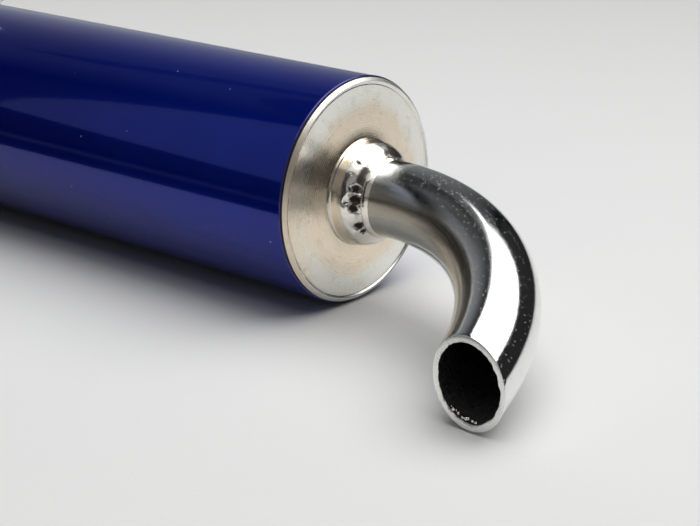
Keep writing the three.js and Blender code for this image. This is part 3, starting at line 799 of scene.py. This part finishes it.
def glass_wool_look():
    """Yellow-white glass fibre in rolled layers."""
    look = Look("glass wool", Metallic=0.0, Sheen_Weight=0.3)
    layers = look.noise(0.8, 7, 0.7, vector=look.joined(look.times(look.radial(), 1.5), look.part(0)))
    fibre = look.noise(2.5, 8, 0.75, stretch=(0.3, 1, 1))
    return look.finish(look.blend(layers, 0.3, 0.7, (0.72, 0.62, 0.35), (0.86, 0.80, 0.60)),
                       look.band(fibre, 0.3, 0.7, 0.85, 0.98), look.bump(look.plus(layers, fibre), 0.5))


def zinc_look():
    """Bright zinc plating on pressed steel: a slight spangle and a blue cast."""
    look = Look("zinc plate", Metallic=1.0)
    spangle = look.node("ShaderNodeTexVoronoi", Vector=look.place, Scale=0.7).outputs["Color"]
    shade = look.node("ShaderNodeSeparateColor", Color=spangle).outputs[0]
    haze = look.noise(0.6, 5, 0.6)
    colour = look.mix(shade, (0.60, 0.62, 0.65), (0.72, 0.74, 0.76))
    return look.finish(look.blend(haze, 0.5, 0.8, colour, (0.52, 0.50, 0.45), 0.5),
                       look.band(haze, 0.3, 0.7, 0.22, 0.38), look.bump(haze, 0.02))


def rubber_look():
    """Moulded black rubber with a dusty bloom."""
    look = Look("black rubber", Metallic=0.0)
    bloom = look.noise(0.5, 5, 0.6)
    return look.finish(look.blend(bloom, 0.4, 0.75, (0.012, 0.012, 0.013), (0.045, 0.044, 0.043)),
                       look.band(bloom, 0.3, 0.7, 0.7, 0.88), look.bump(look.noise(3.5, 3), 0.05))


def grained_look(name, metallic, marks, colours, gloss, relief, share=(0.35, 0.7)):
    """A plain look: one noise, marks, sets its colour, its roughness and its relief together."""
    look = Look(name, Metallic=metallic)
    grains = look.noise(*marks)
    return look.finish(look.mix(look.band(grains, *share) if share else grains, *colours),
                       look.band(grains, 0.3, 0.7, *gloss), look.bump(grains, relief))


LOOKS = {
    "plated_steel": plated_look(),
    "plated_weld": weld_look(),
    "blue_anodised": can_look(),
    "black_seal": grained_look(
        "black seal", 0, (1.4, 4), ((0.006, 0.006, 0.007), (0.018, 0.017, 0.017)), (0.45, 0.65), 0.12, None),
    "raw_steel": raw_steel_look(),
    "steel_wool": steel_wool_look(),
    "glass_wool": glass_wool_look(),
    "zinc_steel": zinc_look(),
    "rivet_aluminium": grained_look(
        "rivet aluminium", 1, (2.2, 5, 0.65), ((0.76, 0.77, 0.78), (0.60, 0.60, 0.61)), (0.28, 0.45), 0.04),
    "black_rubber": rubber_look(),
    "graphite": grained_look(
        "graphite", 0.25, (2.8, 6, 0.7), ((0.035, 0.036, 0.04), (0.085, 0.087, 0.092)), (0.45, 0.7), 0.06),
    "spring_steel": grained_look(
        "spring steel", 1, (1.2, 6, 0.65), ((0.56, 0.57, 0.58), (0.38, 0.37, 0.36)), (0.18, 0.32), 0.02),
}
CAP = cap_look()
CUT = grained_look(
    "cut tube end", 1, (2.5, 4, 0.6, (1, 1, 4)), ((0.9, 0.9, 0.87), (0.76, 0.75, 0.72)), (0.22, 0.36), 0.03)
# the inside of the tail pipe's bend is painted darker: painted shade
TAIL = plated_look("tail pipe plating", inside_bend)
OUTLET_PITS = [(x, radians(degrees), size, depth) for x, degrees, size, depth in (
    (7.6, 158, 0.9, 0.7), (7.9, 172, 1.3, 1.1), (7.4, 183, 0.9, 0.7),
    (8.0, 209, 1.0, 0.9), (8.5, 221, 0.7, 0.5), (6.2, 128, 0.4, 0.6),
)]                              # (x, angle, size, depth) round the tail pipe's collar
OUTLET_WELD = weld_look("pitted weld", [(on_axis(x, OUTLET_PIT_RADIUS, angle), 1.1 * size + 0.4)
                                        for x, angle, size, depth in OUTLET_PITS])
SOOT = soot_look()


# ------------------------------------------------------------------ silencer
TO_FRONT = moved(-CAN_LENGTH) @ rotated(pi, "Z")       # turns a piece of the rear end round


def dish_height(radius):
    """How far a cap's face stands proud of its rim at a radius."""

    def past(end):
        return limited((radius - DISH_INNER) / (end - DISH_INNER))

    crown = DISH_CROWN * (1 + cos(pi * past(DISH_OUTER))) / 2
    return crown + (DISH_RISE - DISH_CROWN) * (1 - past(DISH_FILLET)) ** 2


def cap(bore):
    """A pressed end cap: dished middle, shallow groove, rim and skirt."""
    dish = [DISH_INNER + (DISH_OUTER - DISH_INNER) * share ** 1.5 for share in spread(0, 1, 36)]
    skirt_inner = SKIRT_RADIUS - 1
    corners = [(DISH_RISE, bore, 0)]
    corners += [(dish_height(radius), radius, 0) for radius in dish]
    corners += [
        (0, 27.7, 0.12), (-0.1, 27.95, 0.1), (0.38, 28.4, 0.15), (0.5, 28.7, 0.12),
        (-0.45, RIM_RADIUS, 0.1), (-0.45, SKIRT_RADIUS, 0),
        (-9, SKIRT_RADIUS, 0.2), (-9, skirt_inner, 0.2), (-SHEET, skirt_inner, 0.3),
    ]
    corners += [(dish_height(radius) - SHEET, radius, 0) for radius in reversed(dish)]
    corners.append((DISH_RISE - SHEET, bore, 0))
    return turned(corners, around=256, run=2.5)


def collar(bore, outer, seed, pits=()):
    """The raised ring round a pipe, lumpy from weld metal. pits are (x, angle, size, depth)."""

    def shift(x, radius, angle):
        if radius < bore + 0.3 or x < COLLAR_BASE + 0.05:
            return 0, 0
        where = (0.45 * radius * cos(angle), 0.45 * radius * sin(angle), 0.35 * x)
        lump = 0.09 * grain(seed, *where) * ease((x - COLLAR_BASE) / 2.5)
        dent = 0
        for pit_x, pit_angle, size, depth in pits:
            away = (angle - pit_angle + pi) % (2 * pi) - pi
            distance = hypot(away * radius, x - pit_x) / size
            ragged = 1 + 0.7 * grain(seed + 3, 0.9 * x, 8 * angle)
            dent += depth * exp(-(distance * ragged) ** 2)
        return -0.4 * dent * ease((x - 5) / 2), min(lump, 0.1) - dent

    corners = [
        (COLLAR_BASE - 0.15, bore, 0), (COLLAR_BASE - 0.15, outer + 0.4, 0),
        (COLLAR_BASE + 0.45, outer + 0.38, 0.2), (COLLAR_BASE + 0.75, outer - 0.05, 0.25),
        (COLLAR_TOP - 2.4, outer - 0.15, COLLAR_SHOULDER), (COLLAR_TOP, bore + 0.75, 1.2),
        (COLLAR_TOP + 0.2, bore + 0.6, 0), (COLLAR_TOP + 0.2, bore, 0),
    ]
    return turned(corners, around=320, shift=shift, steps=12, run=0.3)


def shell():
    """The rolled can, its ends slightly chamfered."""
    front, rear = SHELL_INSET - CAN_LENGTH, -SHELL_INSET
    inside, chamfered = CAN_RADIUS - CAN_WALL, CAN_RADIUS - 0.2
    return turned([
        (front, inside, 0.1), (front, chamfered, 0.1), (front + 0.25, CAN_RADIUS, 0.15),
        (rear - 0.25, CAN_RADIUS, 0.15), (rear, chamfered, 0.1), (rear, inside, 0.1),
    ], around=256, run=8)


def seal(seed):
    """Sealant pressed out between rim and shell."""

    def shift(x, radius, angle):
        if radius < RIM_RADIUS - 0.2:
            return 0, 0
        return 0, 0.10 * grain(seed, 6 * cos(angle), 6 * sin(angle))

    return tube(-SHELL_INSET + 0.02, -0.47, RIM_RADIUS + 0.08, SKIRT_RADIUS + 0.1, 0.1, 256, shift)


def drops(path, end_at, finish):
    """Drops of metal and tar that stuck inside the mouth's lower edge."""
    shape = Shape()
    for k in range(9):
        angle = radians(80 + 6 * k + 6 * grain(61, 1.3 * k))
        size = 0.42 + 0.35 * grain(62, 1.7 * k)
        inset = 1.0 + 1.1 * grain(63, 2.3 * k)
        drop = turned([(-size, 0, 0), (-size, 0.7 * size, 0.5 * size), (0.6 * size, size, 0.5 * size),
                       (1.4 * size, 0, 0)], around=16, run=1)
        drop.finishes = [finish] * len(drop.faces)
        centre = path.point(end_at(TUBE_BORE, angle) - inset, TUBE_BORE - 0.35 * size, angle)
        shape.add(drop, moved(*centre) @ rotated(2.1 * k, "Z"))
    return shape


def tail_pipe():
    """The bent tail pipe with its sawn mouth."""
    path = Bend(
        start=Vector((TAIL_START, 0, 0)), along=Vector((1, 0, 0)), side=TAIL_SIDE,
        lead=TAIL_LEAD - TAIL_START, radius=TAIL_BEND_RADIUS, angle=TAIL_BEND, end=TAIL_END,
    )
    mouth = path.at(path.length)[0]
    out = Vector((
        -sin(MOUTH_YAW) * cos(MOUTH_PITCH),
        -cos(MOUTH_YAW) * cos(MOUTH_PITCH),
        sin(MOUTH_PITCH),
    ))

    def end_at(radius, angle):
        low, high = path.length - 12, path.length + 12
        for _ in range(40):
            middle = (low + high) / 2
            if (path.point(middle, radius, angle) - mouth).dot(out) < 0:
                low = middle
            else:
                high = middle
        return middle

    pipe = bent_tube(path, TUBE_RADIUS, TUBE_BORE, waviness(5), end_at, around=200, burr=0.3,
                     finishes=(0, 1, 2))
    return pipe.add(drops(path, end_at, 3))


def inlet_pipe():
    """The inlet stub, its free end split by four saw cuts so that the clamp can close it."""
    rear = -CAN_LENGTH + 12
    half_slot = asin(INLET_SLOT_WIDTH / 2 / INLET_RADIUS)
    between = 28
    angles = []
    for quarter in range(4):
        angles += spread(quarter * pi / 2 + half_slot, (quarter + 1) * pi / 2 - half_slot, between)
    bottom = INLET_MOUTH + INLET_SLOT_LENGTH
    front_rows = 8
    stations = spread(INLET_MOUTH, bottom, front_rows)[:-1] + spread(bottom, rear, 16)

    def place(i, j, level):
        return on_axis(stations[j], INLET_RADIUS if level else INLET_BORE, angles[i % len(angles)])

    def kept(i, j):
        return j >= front_rows or i % (between + 1) != between

    return slab(len(angles), len(stations) - 1, place, kept, wrap=True)


def build_silencer():
    piece("silencer_shell", shell(), "blue_anodised")
    for end, pipe, pipe_radius, collar_radius, seed, pits, look, place in (
        ("rear", "tail", TUBE_RADIUS, OUTLET_COLLAR_RADIUS, 1, OUTLET_PITS, OUTLET_WELD, None),
        ("front", "inlet", INLET_RADIUS, INLET_COLLAR_RADIUS, 2, OUTLET_PITS[3:], LOOKS["plated_weld"],
         TO_FRONT),
    ):
        bore = pipe_radius + 0.02
        name = "outlet" if end == "rear" else "inlet"
        piece(end + "_cap", cap(bore), looks=[CAP], place=place)
        piece(end + "_cap_seal", seal(seed), "black_seal", place=place)
        piece(name + "_collar", collar(bore, collar_radius, 3 + 4 * seed, pits), looks=[look], place=place)
        weld = bead(COLLAR_WELD_X, pipe_radius, 1.5, 0.75, 2 + seed, relief=0.02, fall=1.4)
        piece(pipe + "_pipe_weld", weld, "plated_weld", place=place)
    piece("tail_pipe", tail_pipe(), looks=[TAIL, CUT, SOOT, LOOKS["plated_weld"]])
    piece("inlet_pipe", inlet_pipe(), bevel=0.18)


# ------------------------------------------------------------------ silencer hanger
def tab_outline(foot, foot_half_width):
    """A tab with a round top, flared at its foot."""
    sides = [(-TAB_HALF_WIDTH, foot + 8), (-foot_half_width, foot), (foot_half_width, foot),
             (TAB_HALF_WIDTH, foot + 8)]
    return arc(0, TAB_HOLE_HEIGHT, TAB_HALF_WIDTH, 0, pi, 48) + sides


def tab(middle, foot, foot_half_width, hole, weld_height, weld_half_width, seed):
    """A tab with a hole, and two short fillet welds along its foot."""
    outline = tab_outline(foot, foot_half_width)
    shape = plate([outline, circle(0, TAB_HOLE_HEIGHT, hole)], TAB_THICKNESS, 0.25)
    for side in (-1, 1):
        y = side * (TAB_THICKNESS / 2 + 0.3)
        points = [Vector((x, y, weld_height)) for x in spread(-weld_half_width, weld_half_width, 60)]
        shape.add(wire(points, 1.0, 12, lambda share, side=side: (
            0.95 + 0.12 * sin(75 * share) + 0.15 * grain(seed + side, 9 * share))))
    return Shape().add(shape, moved(middle))


def saddle():
    """The strip that lies on the can, with rounded corners."""
    columns, rows = 40, 28
    corner = 7
    half_arc = HANGER_HALF_ANGLE * SADDLE_INNER
    half_width = HANGER_WIDTH / 2

    def place(i, j, level):
        along = -half_width * cos(pi * j / rows)
        reach = half_arc - corner_inset(abs(along) - half_width + corner, corner)
        angle = pi / 2 + (2 * i / columns - 1) * reach / SADDLE_INNER
        return on_axis(HANGER_X + along, SADDLE_INNER + SADDLE_SHEET * level, angle)

    return slab(columns, rows, place)


def rivet():
    """A set blind rivet: domed head with the broken mandrel in its middle."""
    outside = SADDLE_INNER + SADDLE_SHEET
    return turned([
        (27.0, 0, 0), (27.4, 2.2, 0.3), (28.6, 2.4, 0.2), (28.6, 1.7, 0), (outside, 1.7, 0),
        (outside, 3.2, 0.2), (outside + 0.45, 3.25, 0.25), (outside + 1.15, 1.9, 0.5),
        (outside + 1.25, 1.15, 0.1), (outside + 0.75, 0.95, 0.1), (outside + 0.85, 0, 0),
    ], around=48, run=1)


def build_hanger():
    foot = SADDLE_INNER + SADDLE_SHEET - 0.4
    bracket = tab(HANGER_X, foot, TAB_HALF_WIDTH, HANGER_HOLE_RADIUS, foot + 0.5, 10, 20)
    piece("hanger_bracket", bracket.add(saddle()), "zinc_steel")

    places = [(side, end) for side in (-1, 1) for end in (-1, 1)]
    for i, (side, end) in enumerate(places):
        place = moved(HANGER_X + end * RIVET_SPACING / 2) @ rotated(side * RIVET_ANGLE) @ UPRIGHT
        piece(f"hanger_rivet_{i + 1}", rivet(), "rivet_aluminium", place=place)

    bush = along_y(HANGER_X, 0, TAB_HOLE_HEIGHT)
    grommet = turned([
        (-3, 4, 0.4), (-3, 8.3, 0.7), (-1.5, 8.3, 0.5), (-1.3, 6.2, 0.1), (1.3, 6.2, 0.1),
        (1.5, 8.3, 0.5), (3, 8.3, 0.7), (3, 4, 0.4),
    ], around=96, run=1)
    piece("hanger_grommet", grommet, "black_rubber", place=bush)
    piece("hanger_sleeve", tube(-3.3, 3.3, 3.95, 3.15, 0.15, 72), "zinc_steel", place=bush)


# ------------------------------------------------------------------ inlet clamp
def clamp_band():
    """A strip bent round the inlet pipe, with its two ends turned up as ears."""
    start = pi / 2 + asin(EAR_FACE / CLAMP_INNER)
    end = start + 2 * pi - 2 * asin(EAR_FACE / CLAMP_INNER)
    ring = [(CLAMP_INNER * cos(a), CLAMP_INNER * sin(a), 0) for a in spread(start, end, 72)]
    foot = sqrt(CLAMP_INNER ** 2 - EAR_FACE ** 2)
    corners = [(-EAR_FACE, EAR_TOP, 0), (-EAR_FACE, foot + 5, 0), (-EAR_FACE, foot, 0.9)]
    corners += ring[2:-2] + [(EAR_FACE, foot, 0.9), (EAR_FACE, foot + 5, 0), (EAR_FACE, EAR_TOP, 0)]
    line = guarded(soften(corners, closed=False), guard=0.3, run=0.8, closed=False)
    rows = 10
    corner = 2.2

    def place(i, j, level):
        here = line[i]
        ahead = (line[min(i + 1, len(line) - 1)] - line[max(i - 1, 0)]).normalized()
        out = Vector((ahead.y, -ahead.x))
        half = CLAMP_WIDTH / 2 - corner_inset(here.y - EAR_TOP + corner, corner)
        y, z = here + out * CLAMP_SHEET * level
        return Vector((-half * cos(pi * j / rows), y, z))

    return slab(len(line) - 1, rows, place)


def build_clamp():
    place = moved(CLAMP_X) @ rotated(CLAMP_TILT)
    screw_line = place @ along_y(0, 0, SCREW_HEIGHT)
    seat = EAR_FACE + 1.4
    piece("inlet_clamp_band", clamp_band(), "zinc_steel", place=place, bevel=0.15)
    washer = turned([
        (seat - 0.2, 2.1, 0), (seat - 0.2, 4.3, 0.1), (seat + 0.3, 4.3, 0.1), (seat + 0.3, 2.1, 0),
    ], around=72)
    screw = hexagon(seat + 0.1, seat + 2.9, 4, 0.01).add(washer)
    screw.add(threaded(-seat - 3.5, seat + 0.3, 2, 0.7))
    piece("inlet_clamp_screw", screw, "zinc_steel", place=screw_line, sharp=30)
    piece("inlet_clamp_nut", hexagon(-seat - 3.2, -seat, 4, 1.95), "zinc_steel", place=screw_line, sharp=30)


# ------------------------------------------------------------------ expansion chamber
def cone(rear, rear_radius, front, front_radius):
    """A length of sheet cone, or of tube where the two radii are the same."""
    corners = [(rear, rear_radius), (front, front_radius),
               (front, front_radius - SHEET), (rear, rear_radius - SHEET)]
    return turned([(x, radius, 0.15) for x, radius in corners], around=160)


def baffle_cone():
    """The rear cone and the neck that slips over the stinger."""
    bore = TUBE_RADIUS + 0.02
    neck = bore + SHEET
    return turned([
        (CONE_NECK, bore, 0.1), (CONE_NECK, neck, 0.2), (BAFFLE_START, neck, 2.5),
        (BELLY_START, BELLY_RADIUS, 0.15), (BELLY_START, BELLY_RADIUS - SHEET, 0.15),
        (BAFFLE_START, bore, 2.5),
    ], around=160, steps=8)


def spring_post(foot):
    """A headed post for a spring's eye, along X, with a weld fillet at its foot."""
    return turned([
        (foot, 0, 0), (foot, 3.2, 0.2), (foot + 0.8, 2.5, 0.5), (foot + 1.9, POST_RADIUS, 0.6),
        (POST_SHOULDER, POST_RADIUS, 0.1), (POST_SHOULDER, 3.15, 0.15), (POST_SHOULDER + 0.7, 3.15, 0.3),
        (POST_SHOULDER + 1.3, 2.0, 0.5), (POST_SHOULDER + 1.35, 0, 0),
    ], around=48, run=1)


def build_chamber():
    piece("stinger", tube(BAFFLE_START + 2, STINGER_END, TUBE_RADIUS, TUBE_BORE, 0.25, 128))
    piece("baffle_cone", baffle_cone())
    for node, *sizes in (
        ("belly", BELLY_START, BELLY_RADIUS, DIFFUSER_START, BELLY_RADIUS),
        ("diffuser_cone", DIFFUSER_START, BELLY_RADIUS, HEADER_CONE_START, DIFFUSER_END_RADIUS),
        ("header_cone", HEADER_CONE_START, DIFFUSER_END_RADIUS, SOCKET_START, SOCKET_RADIUS),
    ):
        piece(node, cone(*sizes))
    piece("header_socket",
          tube(SOCKET_MOUTH, SOCKET_START, SOCKET_RADIUS, SOCKET_RADIUS - TUBE_WALL, 0.3, 128))
    for node, *sizes in (
        ("stinger_weld", CONE_NECK + 0.9, TUBE_RADIUS, 1.1, 1.2, 31, 32),
        ("baffle_weld", BELLY_START, BELLY_RADIUS, 1.5, 0.85, 32, 84, 504),
        ("belly_weld", DIFFUSER_START, BELLY_RADIUS, 1.5, 0.85, 33, 84, 504),
        ("diffuser_weld", HEADER_CONE_START, DIFFUSER_END_RADIUS, 1.5, 0.95, 34, 52, 360),
        ("socket_weld", SOCKET_START, SOCKET_RADIUS, 1.5, 0.95, 35, 40),
    ):
        piece(node, bead(*sizes), "plated_weld")
    foot = BELLY_RADIUS - 0.1
    flared = TAB_HALF_WIDTH + 4
    bracket = tab(CHAMBER_BRACKET_X, foot, flared, CHAMBER_BRACKET_HOLE_RADIUS, foot + 0.4, 15, 25)
    piece("chamber_bracket", bracket)
    above_and_below("chamber_spring_post", spring_post(SOCKET_RADIUS + 0.5), CHAMBER_POST_X)


# ------------------------------------------------------------------ header
def header_pipe():
    """The bent pipe from the chamber's socket to the engine flange."""
    path = Bend(
        start=Vector((HEADER_START, 0, 0)), along=Vector((-1, 0, 0)), side=Vector((0, 1, 0)),
        lead=HEADER_LEAD, radius=HEADER_BEND_RADIUS, angle=pi / 2, end=HEADER_END,
    )
    swell = waviness(9)

    def wave(distance, angle):
        return swell(distance, angle) * ease((distance - HEADER_LEAD) / 8)

    return bent_tube(path, HEADER_RADIUS, HEADER_RADIUS - TUBE_WALL, wave,
                     lambda radius, angle: path.length, around=112)


def flange_loops(trim, bore):
    """An oval flange's outline and its three holes: a round body with a lobe above and below."""
    body, lobe, reach = FLANGE_BODY_RADIUS - trim, FLANGE_LOBE_RADIUS - trim, FLANGE_HOLE_REACH
    lean = asin((body - lobe) / reach)
    outline = arc(0, 0, body, -lean, lean, 12)
    outline += arc(0, reach, lobe, lean, pi - lean, 40)
    outline += arc(0, 0, body, pi - lean, pi + lean, 12)
    outline += arc(0, -reach, lobe, pi + lean, 2 * pi - lean, 40)
    holes = [(0, bore), (reach, FLANGE_HOLE_RADIUS), (-reach, FLANGE_HOLE_RADIUS)]
    return [outline] + [circle(0, z, radius) for z, radius in holes]


def build_header():
    piece("header_pipe", header_pipe())
    above_and_below("header_spring_post", spring_post(HEADER_RADIUS - 0.2), HEADER_POST_X)
    flange = plate(flange_loops(0, HEADER_RADIUS + 0.05), FLANGE_THICKNESS, 0.45)
    piece("engine_flange", flange, place=moved(FLANGE_X, FLANGE_FACE - FLANGE_THICKNESS / 2))
    piece("flange_weld", bead(0, HEADER_RADIUS, 1.3, 1.55, 41, 34), "plated_weld",
          place=along_y(FLANGE_X, FLANGE_FACE - FLANGE_THICKNESS - 1.1, 0))
    gasket = plate(flange_loops(0.4, HEADER_RADIUS - TUBE_WALL + 0.3), 0.8, 0.12)
    piece("flange_gasket", gasket, "graphite", place=moved(FLANGE_X, FLANGE_FACE + 0.45))


# ------------------------------------------------------------------ joint springs
def spring():
    """A close-wound extension spring along -X, from the middle of its rear eye at the origin."""
    eye, coil, pitch = 3.3, 2.9, 2.06
    middle = -SPRING_SPAN / 2
    half = [Vector((eye * cos(a), eye * sin(a), 0)) for a in spread(radians(-120), pi, 40)]
    swing = [Vector(point) for point in (
        (-eye, 0, 0), (-eye - 0.1, -1.4, 0), (-eye - 1.9, 0, 0), (-7.4, 0, 0))]
    for t in spread(0, 1, 8)[1:]:
        weights = ((1 - t) ** 3, 3 * t * (1 - t) ** 2, 3 * t * t * (1 - t), t ** 3)
        half.append(sum((point * weight for point, weight in zip(swing, weights)), Vector()))
    first = -7.6
    for x in spread(first, middle, 190):
        angle = pi / 2 + (x - middle) / pitch * 2 * pi
        half.append(on_axis(x, coil * ease((first - x) / 1.3), angle))
    other = [Vector((2 * middle - point.x, -point.y, point.z)) for point in reversed(half[:-1])]
    return wire(half + other, 1, 10)


def finish_inner_nodes():
    """The CAD's own pieces that stay: those inside the can and inside the header's joint."""
    slots = {
        "core_tube": "raw_steel",
        "core_locating_ring": "raw_steel",
        "steel_wool_wrap": "steel_wool",
        "glass_wool_packing": "glass_wool",
        "header_seal_ring_1": "graphite",
        "header_seal_ring_2": "graphite",
    }
    for node, slot in slots.items():
        mesh = frame["nodes"][node].data
        mesh.materials.clear()
        mesh.materials.append(LOOKS[slot])


build_silencer()
build_hanger()
build_clamp()
build_chamber()
build_header()
above_and_below("joint_spring", spring(), CHAMBER_POST_X, moved(z=SPRING_HEIGHT), "spring_steel")
finish_inner_nodes()


# ------------------------------------------------------------------ floor, light and camera
def at(*millimetres):
    """A place in millimetres from the middle of the rear rim."""
    return MAIN @ Vector(millimetres)


BEND = at(62, -32, -1)          # the middle of the tail pipe's bend, which the lights are aimed at


def emission(name, strength, colour=(1, 1, 1)):
    """A plain glowing material. strength is a number, or makes a socket from the material's nodes."""
    look = Look(name)
    look.tree.nodes.remove(look.shader)
    glow = look.node("ShaderNodeEmission", Color=colour,
                     Strength=strength(look) if callable(strength) else strength)
    look.feed(look.tree.nodes["Material Output"].inputs["Surface"], glow.outputs[0])
    return look.material


def build_floor():
    half = 7                        # metres
    mesh = bpy.data.meshes.new("floor")
    mesh.from_pydata([(-half, -half, 0), (half, -half, 0), (half, half, 0), (-half, half, 0)], [], QUAD)
    look = Look("floor paper", Roughness=0.9, Specular_IOR_Level=0.2)
    tone = look.mix(look.noise(0.02, 4), (0.79, 0.79, 0.785), (0.81, 0.81, 0.805))
    # painted shade: the floor is painted darker towards +Y, standing in for the light falling off towards
    # the back
    look.set(Base_Color=look.blend(look.part(1), 0.0, 600.0, tone, (0.64, 0.64, 0.635)),
             Normal=look.bump(look.noise(0.9, 4, 0.6), 0.06))
    mesh.materials.append(look.material)
    floor = in_scene("floor", mesh)
    floor.location.z = -0.2 * MM        # clear of what lies on it


def area_light(name, place, shape, width, height, radiance):
    """A soft light of even brightness, in metres, aimed at the tail pipe's bend."""
    lamp = bpy.data.lights.new(name, "AREA")
    lamp.shape = shape
    lamp.size = width
    lamp.size_y = height
    area = width * height * (pi / 4 if shape in ("DISK", "ELLIPSE") else 1)
    lamp.energy = radiance * pi * area
    made = in_scene(name, lamp)
    made.location = place
    made.rotation_euler = (BEND - place).to_track_quat("-Z", "Y").to_euler()
    made.visible_camera = False


def build_lights():
    distance = 1.2                  # metres
    key = BEND + Vector((0.100, 0.309, 0.946)).normalized() * distance
    corner = BEND + Vector((-0.436, 0.549, 0.713)) * distance
    overhead = BEND + Vector((0.05, -0.405, 0.912)) * distance
    area_light("key softbox", key, "DISK", 1.68, 1.68, 2.8)
    area_light("key softbox corner", corner, "ELLIPSE", 0.10, 0.09, 2.8)
    area_light("overhead softbox", overhead, "RECTANGLE", 1.6, 0.5, 0.8)
    area_light("front softbox", at(600, -1100, 600), "RECTANGLE", 0.9, 0.9, 0.25)


def card(name, points, material, faces=QUAD):
    """A studio card that only reflections see."""
    mesh = bpy.data.meshes.new(name)
    mesh.from_pydata(points, [], faces)
    mesh.materials.append(material)
    made = in_scene(name, mesh)
    made.visible_camera = False
    made.visible_diffuse = False
    made.visible_shadow = False


def build_backdrop():
    """A pale wall far to the left, brightest near the floor, that the can's top edge mirrors."""
    distance, height = 2.0, 2.6     # metres

    def strength(look):
        place = look.node("ShaderNodeTexCoord").outputs["Object"]
        left, back, up = (look.node("ShaderNodeMapRange", look.part(axis, place), *fade).outputs[0]
                          for axis, fade in enumerate((
                              (-1.6, -0.4, 1, 0), (-0.75, -0.15, 0, 1), (0.3, 2.0, 0.48, 0.11))))
        return look.times(look.times(up, back), left)

    steps = 16
    points = []
    for azimuth in spread(radians(100), radians(208), steps):
        foot = Vector((cos(azimuth), sin(azimuth), 0)) * distance
        points += [foot, foot + Vector((0, 0, height))]
    faces = [(2 * k, 2 * k + 2, 2 * k + 3, 2 * k + 1) for k in range(steps)]
    card("backdrop", points, emission("backdrop glow", strength, (0.94, 0.99, 1.02)), faces)


def build_cards():
    """A tall grey reflector at the front left, the dark gap above the backdrop's bright part, and the
    dark edge of the table in front of the can."""
    gap = []
    gap_distance = 1.8
    for azimuth, elevation in ((147, 45.5), (147, 48.5), (177, 41), (177, 38)):
        around, up = radians(azimuth), radians(elevation)
        gap.append(BEND + gap_distance * Vector((cos(up) * cos(around), cos(up) * sin(around), sin(up))))
    card("backdrop_gap", gap, emission("backdrop gap", 0.03))
    corners = [(-395, -258, 92), (-395, -155, 600), (-395, -560, 600), (-395, -560, 102)]
    card("reflector", [at(*corner) for corner in corners], emission("reflector", 0.38, (0.85, 0.95, 1.15)))
    left, right = (-330, -88), (40, -118)
    for name, low, high, strength in (
        ("table_edge", -30, -13, 0.0), ("table_edge_line", -13, -6, 0.1), ("table_edge_top", -6, 5, 0.0),
    ):
        corners = [(*left, low), (*right, low), (*right, high), (*left, high)]
        card(name, [at(*corner) for corner in corners], emission(name, strength))


def build_camera():
    lens = bpy.data.cameras.new("camera")
    lens.lens = 91.785
    lens.sensor_width = 36
    lens.sensor_fit = "HORIZONTAL"
    lens.clip_start = 0.01
    lens.clip_end = 60
    back = Vector((0.6043, -0.7257, 0.3289)).normalized()
    right = Vector((0, 0, 1)).cross(back).normalized()
    turn = Matrix((right, back.cross(right), back)).transposed().to_4x4()
    camera = in_scene("camera", lens)
    camera.matrix_world = Matrix.Translation(at(281.68, -342.02, 134.43)) @ turn
    bpy.context.scene.camera = camera


def build_world():
    world = bpy.data.worlds.new("dim room")
    world.use_nodes = True
    room = world.node_tree.nodes["Background"]
    room.inputs["Color"].default_value = (0.97, 0.98, 1.0, 1)
    room.inputs["Strength"].default_value = 0.02
    bpy.context.scene.world = world


build_floor()
build_lights()
build_backdrop()
build_cards()
build_camera()
build_world()
bpy.context.scene.view_settings.view_transform = "Standard"
